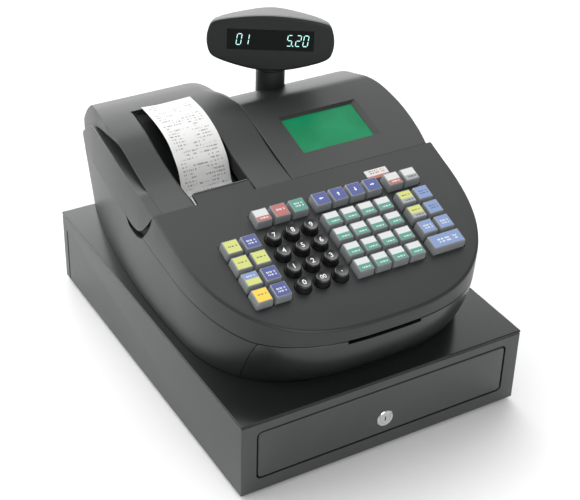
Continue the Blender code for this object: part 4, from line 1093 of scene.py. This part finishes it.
def make_key_row(body, xs, s, legends, source, stem=0.012):
    """A row of keys that move together: caps, inserts, and the bar or stem under them."""
    cap_mesh, insert_mesh = source
    for number, (x, legend) in enumerate(zip(xs, legends)):
        place = key_place(x, s)
        tag = body + ("_%d" % (number + 1) if len(xs) > 1 else "")
        cap = place_copy(cap_mesh, tag + "_cap", place)
        shade_cap_walls(cap, place)
        dress(cap, body, [KEY_CLEAR, KEY_SIDE_SHADE], [body] if number == 0 else ())
        dress(place_copy(insert_mesh, tag + "_insert", place), body, legend)
    left, right = min(xs) - stem / 2, max(xs) + stem / 2
    low, high = -KEY_DOWN - 0.003, -KEY_DOWN - 0.0001
    bar = box(body + "_carrier", (left, -0.005, low), (right, 0.005, high), bevel=0.0004)
    bar.data.transform(key_place(0, s))
    dress(soften(bar), body, DARK_PLASTIC_AND_SHADE)


def shade_cap_walls(cap, place):
    """The cap's walls get the second material, a darker copy of the cap's plastic that paints shade on them,
    and its crown the first.
    """
    out = place.to_3x3() @ Vector((0, 0, 1))
    for polygon in cap.data.polygons:
        polygon.material_index = 1 if polygon.normal.dot(out) < 0.35 else 0


FIGURE, SMALL_FIGURE, FIGURE_T, DOT_R = 0.0082, 0.0068, 0.00016, 0.0007


def text_mesh(name, words, size):
    """Flat numerals as a thin solid, centred on the origin."""
    curve = bpy.data.curves.new(name, "FONT")
    curve.body = words
    curve.size = size
    curve.extrude = FIGURE_T / 2
    curve.align_x = "CENTER"
    curve.align_y = "CENTER"
    curve.offset = size * 0.012
    guide = add(name + "_guide", curve)
    mesh = evaluated(guide)
    bpy.data.objects.remove(guide, do_unlink=True)
    mesh.name = name
    return add(name, mesh)


def make_number_keys():
    crown, top, foot = NUMBER_CROWN_R, KEY_UP, -KEY_DOWN
    profile = [
        (0.0, top - 0.0011), (0.0030, top - 0.0009), (crown - 0.0012, top - 0.0003),
        (crown - 0.0004, top - 0.0001), (crown + 0.0002, top - 0.0006), (crown + 0.0007, top - 0.0018),
        (NUMBER_R - 0.0003, 0.0022), (NUMBER_R, 0.0012), (NUMBER_R, foot), (0.0040, foot),
        (0.0040, foot - 0.003), (0.0, foot - 0.003),
    ]
    source = soften(turned("number_cap", profile, Matrix.Identity(4), 40))
    half = FIGURE_T / 2
    for index, name in enumerate(NUMBER_NAMES):
        row, column = divmod(index, 3)
        place = key_place(NUMBER_X[column], ROW_S[row])
        body = "key_" + name
        cap = place_copy(source, body + "_cap", place)
        dress(cap, body, KEY_BLACK, [body])
        if name == "point":
            dot = [(0, half), (DOT_R, half), (DOT_R, -half), (0, -half)]
            numeral = turned(body + "_numeral", dot, Matrix.Identity(4), 20)
        else:
            numeral = text_mesh(body + "_numeral", name, SMALL_FIGURE if len(name) == 2 else FIGURE)
        numeral.data.transform(place @ Matrix.Translation((0, 0, KEY_UP - 0.00078)))
        dress(numeral, body, NUMERAL)
    bpy.data.objects.remove(source, do_unlink=True)


def arrow(name, turn):
    """A thin arrow that points up the slope before it is turned."""
    shaft, barb, tail, neck, tip = 0.0006, 0.0017, -0.0024, 0.0004, 0.0026
    shape = [
        (-shaft, tail), (shaft, tail), (shaft, neck), (barb, neck), (0, tip), (-barb, neck), (-shaft, neck),
    ]
    piece = loft(name, [[(x, y, z) for x, y in shape] for z in (KEY_UP - 0.0001, KEY_UP - 0.00002)])
    piece.data.transform(Matrix.Rotation(turn, 4, "Z"))
    return piece


def make_keys():
    legend = {name: printed("insert_" + name, *look) for name, look in INSERTS.items()}
    wide_w = RIGHT_X[1] - RIGHT_X[0] + KEY_BASE
    square = (soften(key_cap("cap", KEY_BASE)), key_insert("insert", KEY_BASE))
    wide = (soften(key_cap("wide_cap", wide_w)), key_insert("wide_insert", wide_w))
    left_rows = [("yellow", "blue"), ("yellow", "yellow"), ("split", "blue"), ("orange", "blue")]
    right_rows = [("memo", "sky_label"), ("memo", "sky_label"), ("sky", "sky")]
    blocks = (
        ("left", LEFT_X, left_rows), ("department", DEPARTMENT_X, [("department",) * 4] * 4),
        ("right", RIGHT_X, right_rows),
    )
    for block, xs, rows in blocks:
        for row, (s, names) in enumerate(zip(ROW_S, rows)):
            make_key_row("%s_keys_%d" % (block, row + 1), xs, s, [legend[n] for n in names], square)
    make_key_row("total_key", [sum(RIGHT_X) / 2], ROW_S[-1], [legend["sky"]], wide)
    for body, x, name in zip(("feed_key", "clear_key", "void_key"), NUMBER_X, ("red_label", "red", "teal")):
        make_key_row(body, [x], TOP_ROW_S, [legend[name]], square, stem=0.008)
    make_key_row("function_keys", FUNCTION_X, TOP_ROW_S, [legend["arrow"]] * 4, square)
    make_key_row("mode_keys", RIGHT_X, TOP_ROW_S, [legend["red_label"], legend["mode"]], square)
    for x, turn, name in zip(FUNCTION_X, (90, 0, 180, -90), ("left", "up", "down", "right")):
        mark = arrow("arrow_" + name, math.radians(turn))
        mark.data.transform(key_place(x, TOP_ROW_S))
        dress(mark, "function_keys", NUMERAL)
    for spare in (*square, *wide):
        bpy.data.objects.remove(spare, do_unlink=True)
    make_number_keys()


STICKER_X, STICKER_S, STICKER_HALF_W, STICKER_HALF_H = 0.0835, 0.0215, 0.0135, 0.0062
SHADE_MAT_HALF_W, SHADE_MAT_HALF_H, SHADE_MAT_S, SHADE_MAT_DEPTH = 0.126, 0.0575, 0.083, 0.0100


def make_deck_fittings():
    """A generic sticker by the mode keys, and a dark mat under the keys that paints the shade in the gaps
    between them.
    """
    half_w, half_h = STICKER_HALF_W, STICKER_HALF_H
    levels = [(0.00002, 0), (0.00016, 0)]
    sticker = slab("deck_sticker", half_w, half_h, 0.0008, levels, key_place(STICKER_X, STICKER_S), steps=3)
    uv_box(sticker, lambda co: (0.5 + co.x / (2 * half_w), 0.5 + co.y / (2 * half_h)))
    look = printed("sticker_print", WHITE, RED, 0.30, RED, [(0.52, 0.64), (0.76, 0.86)])
    dress(settle(sticker), "register", look)
    # Painted shade: a dark sheet under the keys, which stands in for the shade between them.
    levels = [(-SHADE_MAT_DEPTH + 0.00005, 0), (-SHADE_MAT_DEPTH + 0.0006, 0)]
    shade_mat = slab("key_shade_mat", SHADE_MAT_HALF_W, SHADE_MAT_HALF_H, 0.002, levels, DECK, (0, -SHADE_MAT_S))
    dress(soften(shade_mat), "register", DARK_PLASTIC_AND_SHADE)


# ---------------------------------------------------------------- customer display

def head_frame():
    turn = Matrix.Translation((POLE_X, POLE_Y, HEAD_Z)) @ Matrix.Rotation(HEAD_YAW, 4, "Z")
    return turn @ Matrix.Rotation(HEAD_TILT, 4, "X") @ Matrix.Translation((0, -HEAD_FORWARD, 0))


HEAD_SIDE_POINTS, HEAD_SQUAT, HEAD_ROUNDING = 30, 0.18, 0.0015


def head_ring(depth, inset=0.0):
    """The head's outline at a distance behind its face: four bowed sides with round corners."""
    narrowing = math.sqrt(1 - (max(depth, 0.0) / (HEAD_DEPTH + HEAD_ROUNDING)) ** 3)
    squat = 1 - HEAD_SQUAT * (max(depth, 0.0) / HEAD_DEPTH) ** 3
    ring = []
    for turn in range(4):
        for step in range(HEAD_SIDE_POINTS):
            place = math.sin(math.pi / 2 * (2 * (step + 0.5) / HEAD_SIDE_POINTS - 1))
            u, v = [(1, place), (-place, 1), (-1, -place), (place, -1)][turn]
            corner = (abs(u) ** HEAD_POWER + abs(v) ** HEAD_POWER) ** (-1 / HEAD_POWER)
            u, v = u * corner, v * corner
            tall, bow = (HEAD_UP, HEAD_UP_BOW) if v > 0 else (HEAD_DOWN, HEAD_DOWN_BOW)
            z = v * (tall - inset - bow * (u * HEAD_HALF_W) ** 2)
            x = u * (HEAD_HALF_W - inset - HEAD_SIDE_BOW * (z - HEAD_WIDEST_Z) ** 2)
            ring.append((x * narrowing, depth, z if v > 0 else z * squat))
    return ring


# The strokes of a seven-segment figure, as pairs of corner points in a 1 x 2 cell
SEGMENTS = {
    "top": ((0, 2), (1, 2)), "upper_right": ((1, 1), (1, 2)), "lower_right": ((1, 0), (1, 1)),
    "bottom": ((0, 0), (1, 0)), "lower_left": ((0, 0), (0, 1)), "upper_left": ((0, 1), (0, 2)),
    "middle": ((0, 1), (1, 1)),
}
LIT = {
    "0": ("top", "upper_right", "lower_right", "bottom", "lower_left", "upper_left"),
    "1": ("upper_right", "lower_right"),
    "2": ("top", "upper_right", "bottom", "lower_left", "middle"),
    "5": ("top", "lower_right", "bottom", "upper_left", "middle"),
}
FIGURE_W, FIGURE_H, FIGURE_SLANT, STROKE, STROKE_GAP = 0.0050, 0.0060, 0.16, 0.00042, 0.0005
FIGURE_FACE, FIGURE_DEEP = 0.0006, 0.0003
FIGURE_CELLS = [(-0.0375, "0"), (-0.0295, "1"), (0.0175, "5"), (0.0270, "2"), (0.0350, "0")]
POINT_X, POINT_SIZE = 0.0243, 0.0011


def make_figures(frame_of_head):
    """Two characters on the left of the window and a price on its right."""
    work = bmesh.new()
    for start, digit in FIGURE_CELLS:
        for segment in LIT[digit]:
            p, q = (
                Vector((start + u * FIGURE_W + v * FIGURE_H * FIGURE_SLANT, (v - 1) * FIGURE_H))
                for u, v in SEGMENTS[segment])
            run = (q - p).normalized()
            side = Vector((-run.y, run.x)) * STROKE
            p, q = p + run * STROKE_GAP, q - run * STROKE_GAP
            tip = run * STROKE
            outline = [p, p + tip + side, q - tip + side, q, q - tip - side, p + tip - side]
            depths = (FIGURE_FACE, FIGURE_FACE + FIGURE_DEEP)
            near, far = ([work.verts.new((c.x, y, c.y)) for c in outline] for y in depths)
            work.faces.new(near)
            work.faces.new(far)
            for i in range(len(outline)):
                j = (i + 1) % len(outline)
                work.faces.new((near[i], near[j], far[j], far[i]))
    point = Matrix.Translation((POINT_X, FIGURE_FACE + 0.0004, -FIGURE_H))
    bmesh.ops.create_cube(work, size=POINT_SIZE, matrix=point)
    figures = add("head_figures", finished("head_figures", work))
    figures.data.transform(frame_of_head)
    dress(figures, "display_head", glowing("figure_glow", (0.50, 0.95, 0.90), 0.9))


POLE_BASE, POLE_FOOT_R, POLE_STEM_R = CASE_BOTTOM + WALL + GAP, 0.028, 0.012
SOCKET_R, SOCKET_DEEP = 0.0110, 0.020
SPIGOT_R, SPIGOT_LOW, SPIGOT_HIGH = 0.0106, 0.2600, 0.2880
COLLAR_H = 0.008


def make_pole():
    profile = [
        (0.0, POLE_TOP - SOCKET_DEEP), (SOCKET_R, POLE_TOP - SOCKET_DEEP), (SOCKET_R, POLE_TOP - 0.0006),
        (SOCKET_R + 0.0006, POLE_TOP), (POLE_R - 0.0006, POLE_TOP), (POLE_R, POLE_TOP - 0.0006),
        (POLE_R, 0.225), (POLE_STEM_R, 0.215), (POLE_STEM_R, POLE_BASE + 0.003),
        (POLE_FOOT_R, POLE_BASE + 0.003),
        (POLE_FOOT_R, POLE_BASE), (0.0, POLE_BASE),
    ]
    pole = turned("display_post", profile, UPRIGHT, 64)
    dress(soften(pole), "register", PLASTIC, ["display_pole"])


def make_head_housing(place):
    """The head's hollow shell, with the collar and spigot that turn on the pole."""
    lip = 0.0006
    levels = [(HEAD_FACE_T + GAP, 0.0004), (HEAD_FACE_T + 0.0008, 0.0)]
    levels += [(0.010, 0.0), (0.0170, 0.0), (0.0172, lip)]
    levels += [(depth, lip) for depth in (0.022, 0.026, 0.030, 0.033, 0.036, 0.0385, 0.0405)]
    levels += [(0.0425, 0.0010), (0.0440, 0.0020), (0.0452, 0.0036), (HEAD_DEPTH, 0.0060)]
    shell = loft("head_housing", [head_ring(depth, inset) for depth, inset in levels], place)
    inner = [0.0025, 0.014, 0.022, 0.030, 0.036, 0.040, HEAD_DEPTH - HEAD_WALL]
    hollow = loft("hollow", [head_ring(depth, HEAD_WALL + lip) for depth in inner], place)
    profile = [(0, SPIGOT_LOW), (SPIGOT_R, SPIGOT_LOW), (SPIGOT_R, SPIGOT_HIGH), (0, SPIGOT_HIGH)]
    spigot = turned("spigot", profile, UPRIGHT, 48)
    low = POLE_TOP + GAP
    high = low + COLLAR_H
    profile = [(0, low), (POLE_R - 0.0005, low), (POLE_R, low + 0.0005), (POLE_R, high), (0, high)]
    cut(shell, turned("collar", profile, UPRIGHT, 64), operation="UNION")
    cut(shell, hollow)
    cut(shell, spigot, operation="UNION")
    cut(shell, box("trim", (-0.1, -0.05, -0.1), (0.1, HEAD_FACE_T + GAP, 0.1), place))
    dress(soften(settle(shell)), "display_head", PLASTIC, ["head_shell"])


def window_ring(y, grow, radius):
    """The head window's outline at y, let out on every side."""
    outline = rounded_rectangle(HEAD_WINDOW_W / 2 + grow, HEAD_WINDOW_H / 2 + grow, radius, 3)
    return [(x, y, z + HEAD_WINDOW_Z) for x, z in outline]


def make_customer_display():
    make_pole()
    place = head_frame()
    make_head_housing(place)
    levels = [(0.0, 0.0030), (0.0001, 0.0022), (0.0006, 0.0009), (0.0013, 0.0002), (0.0022, 0.0)]
    levels.append((HEAD_FACE_T, 0.0))
    face = loft("head_fascia", [head_ring(depth, inset) for depth, inset in levels], place)
    steps = ((-0.01, 0.0004), (0.0, 0.0004), (0.0005, 0.0), (0.02, 0.0))
    cut(face, loft("window_hole", [window_ring(y, grow, 0.0008) for y, grow in steps], place))
    dress(soften(settle(face)), "display_head", HEAD_BLACK, ["head_face"])
    pane = loft("head_pane", [window_ring(y, -0.0002, 0.0007) for y in (0.0010, 0.0035)])
    pane.data.transform(place)
    dress(soften(pane), "display_head", WINDOW, ["head_window"])
    make_figures(place @ Matrix.Translation((0, 0, HEAD_WINDOW_Z)))


# ---------------------------------------------------------------- carried-over nodes

def dress_nodes():
    """The CAD nodes that stay: a material for each, and welded faces."""
    roll_paper = grained("roll_paper", (0.78, 0.78, 0.76), 0.8, 1800.0, 0.00002, 0.4, 0.04)
    looks = (
        (RUBBER, ["foot_front_left", "foot_front_right", "foot_rear_left", "foot_rear_right"]),
        (RUBBER, ["cord_gland", "platen_roller"]), (DRAWER_STEEL, ["drawer_box"]),
        (TRAY_PLASTIC, ["money_tray", "printer_unit"]), (BOARD, ["main_board", "keyboard_board"]),
        # Painted shade: the paper chute takes the darker plastic, for the shade under the printer cover's
        # opening.
        (DARK_PLASTIC_AND_SHADE, ["paper_chute"]), (CLIP_STEEL, ["bill_clip_%d" % number for number in range(1, 5)]),
        (roll_paper, ["paper_roll"]),
    )
    for material, names in looks:
        for name in names:
            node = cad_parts[name]
            node.data.materials.clear()
            node.data.materials.append(material)
            node.modifiers.new("Weld", "WELD").merge_threshold = 0.00001


# ---------------------------------------------------------------- stage

FLOOR_HALF = 6.0


def make_stage():
    work = bmesh.new()
    bmesh.ops.create_grid(work, x_segments=2, y_segments=2, size=FLOOR_HALF)
    floor = add("floor", finished("floor", work))
    material, tree, shader, place = new_material("studio_floor")
    tone = ramp(tree, noise(tree, place, 3.0), [(0.3, (0.86, 0.86, 0.86)), (0.7, (0.89, 0.89, 0.89))])
    feed(tree, shader, {"Base Color": tone, "Roughness": 0.7})
    floor.data.materials.append(material)


def area_light(name, place, aim, power):
    light = bpy.data.lights.new(name, "AREA")
    light.shape = "DISK"
    light.size = LAMP_SIZE
    light.energy = power
    lamp = bpy.data.objects.new(name, light)
    bpy.context.scene.collection.objects.link(lamp)
    lamp.location = place
    lamp.rotation_euler = (Vector(aim) - Vector(place)).to_track_quat("-Z", "Y").to_euler()


BRIGHT_SIDE = (-0.12, 0.95, 0.28)
DIM_AT, BRIGHT_AT = 0.05, 0.95
DIM_LEVEL, BRIGHT_LEVEL = 0.42, 3.3
LAMP_SIZE = 1.4
# Name, place, the point it is aimed at, and power
LAMPS = [
    ("key", (-1.0, 1.4, 1.9), (0, 0, 0.15), 4),
    ("fill", (-0.2, -1.7, 1.3), (0, -0.5, 0.0), 12),
]


def make_lights():
    world = bpy.data.worlds.new("studio")
    world.use_nodes = True
    tree = world.node_tree
    place = add_node(tree, "TexCoord").outputs["Generated"]
    side = {0: place, 1: Vector(BRIGHT_SIDE).normalized()}
    toward = add_node(tree, "VectorMath", side, operation="DOT_PRODUCT").outputs["Value"]
    inputs = {
        "Value": toward, "From Min": DIM_AT, "From Max": BRIGHT_AT,
        "To Min": DIM_LEVEL, "To Max": BRIGHT_LEVEL,
    }
    level = add_node(tree, "MapRange", inputs, interpolation_type="SMOOTHSTEP").outputs["Result"]
    feed(tree, tree.nodes["Background"], {"Strength": level, "Color": (1.0, 1.0, 1.0, 1)})
    bpy.context.scene.world = world
    for lamp in LAMPS:
        area_light(*lamp)


CAMERA_PLACE = (-0.6637, -1.1284, 0.9701)
CAMERA_TURN = (56.868, -1.474, -30.018)
CAMERA_LENS = 88.3


def make_camera():
    camera = bpy.data.cameras.new("camera")
    camera.lens = CAMERA_LENS
    camera.sensor_width = 36
    holder = bpy.data.objects.new("camera", camera)
    bpy.context.scene.collection.objects.link(holder)
    holder.location = CAMERA_PLACE
    holder.rotation_euler = [math.radians(a) for a in CAMERA_TURN]
    bpy.context.scene.camera = holder
    bpy.context.scene.view_settings.view_transform = "Standard"


make_camera()
make_cabinet()
make_drawer_front()
make_lock()
make_lower_casing()
make_upper_casing()
make_printer_cover()
make_display_cover()
make_operator_display()
make_printer_parts()
make_receipt()
make_keys()
make_deck_fittings()
make_customer_display()
dress_nodes()
make_stage()
make_lights()
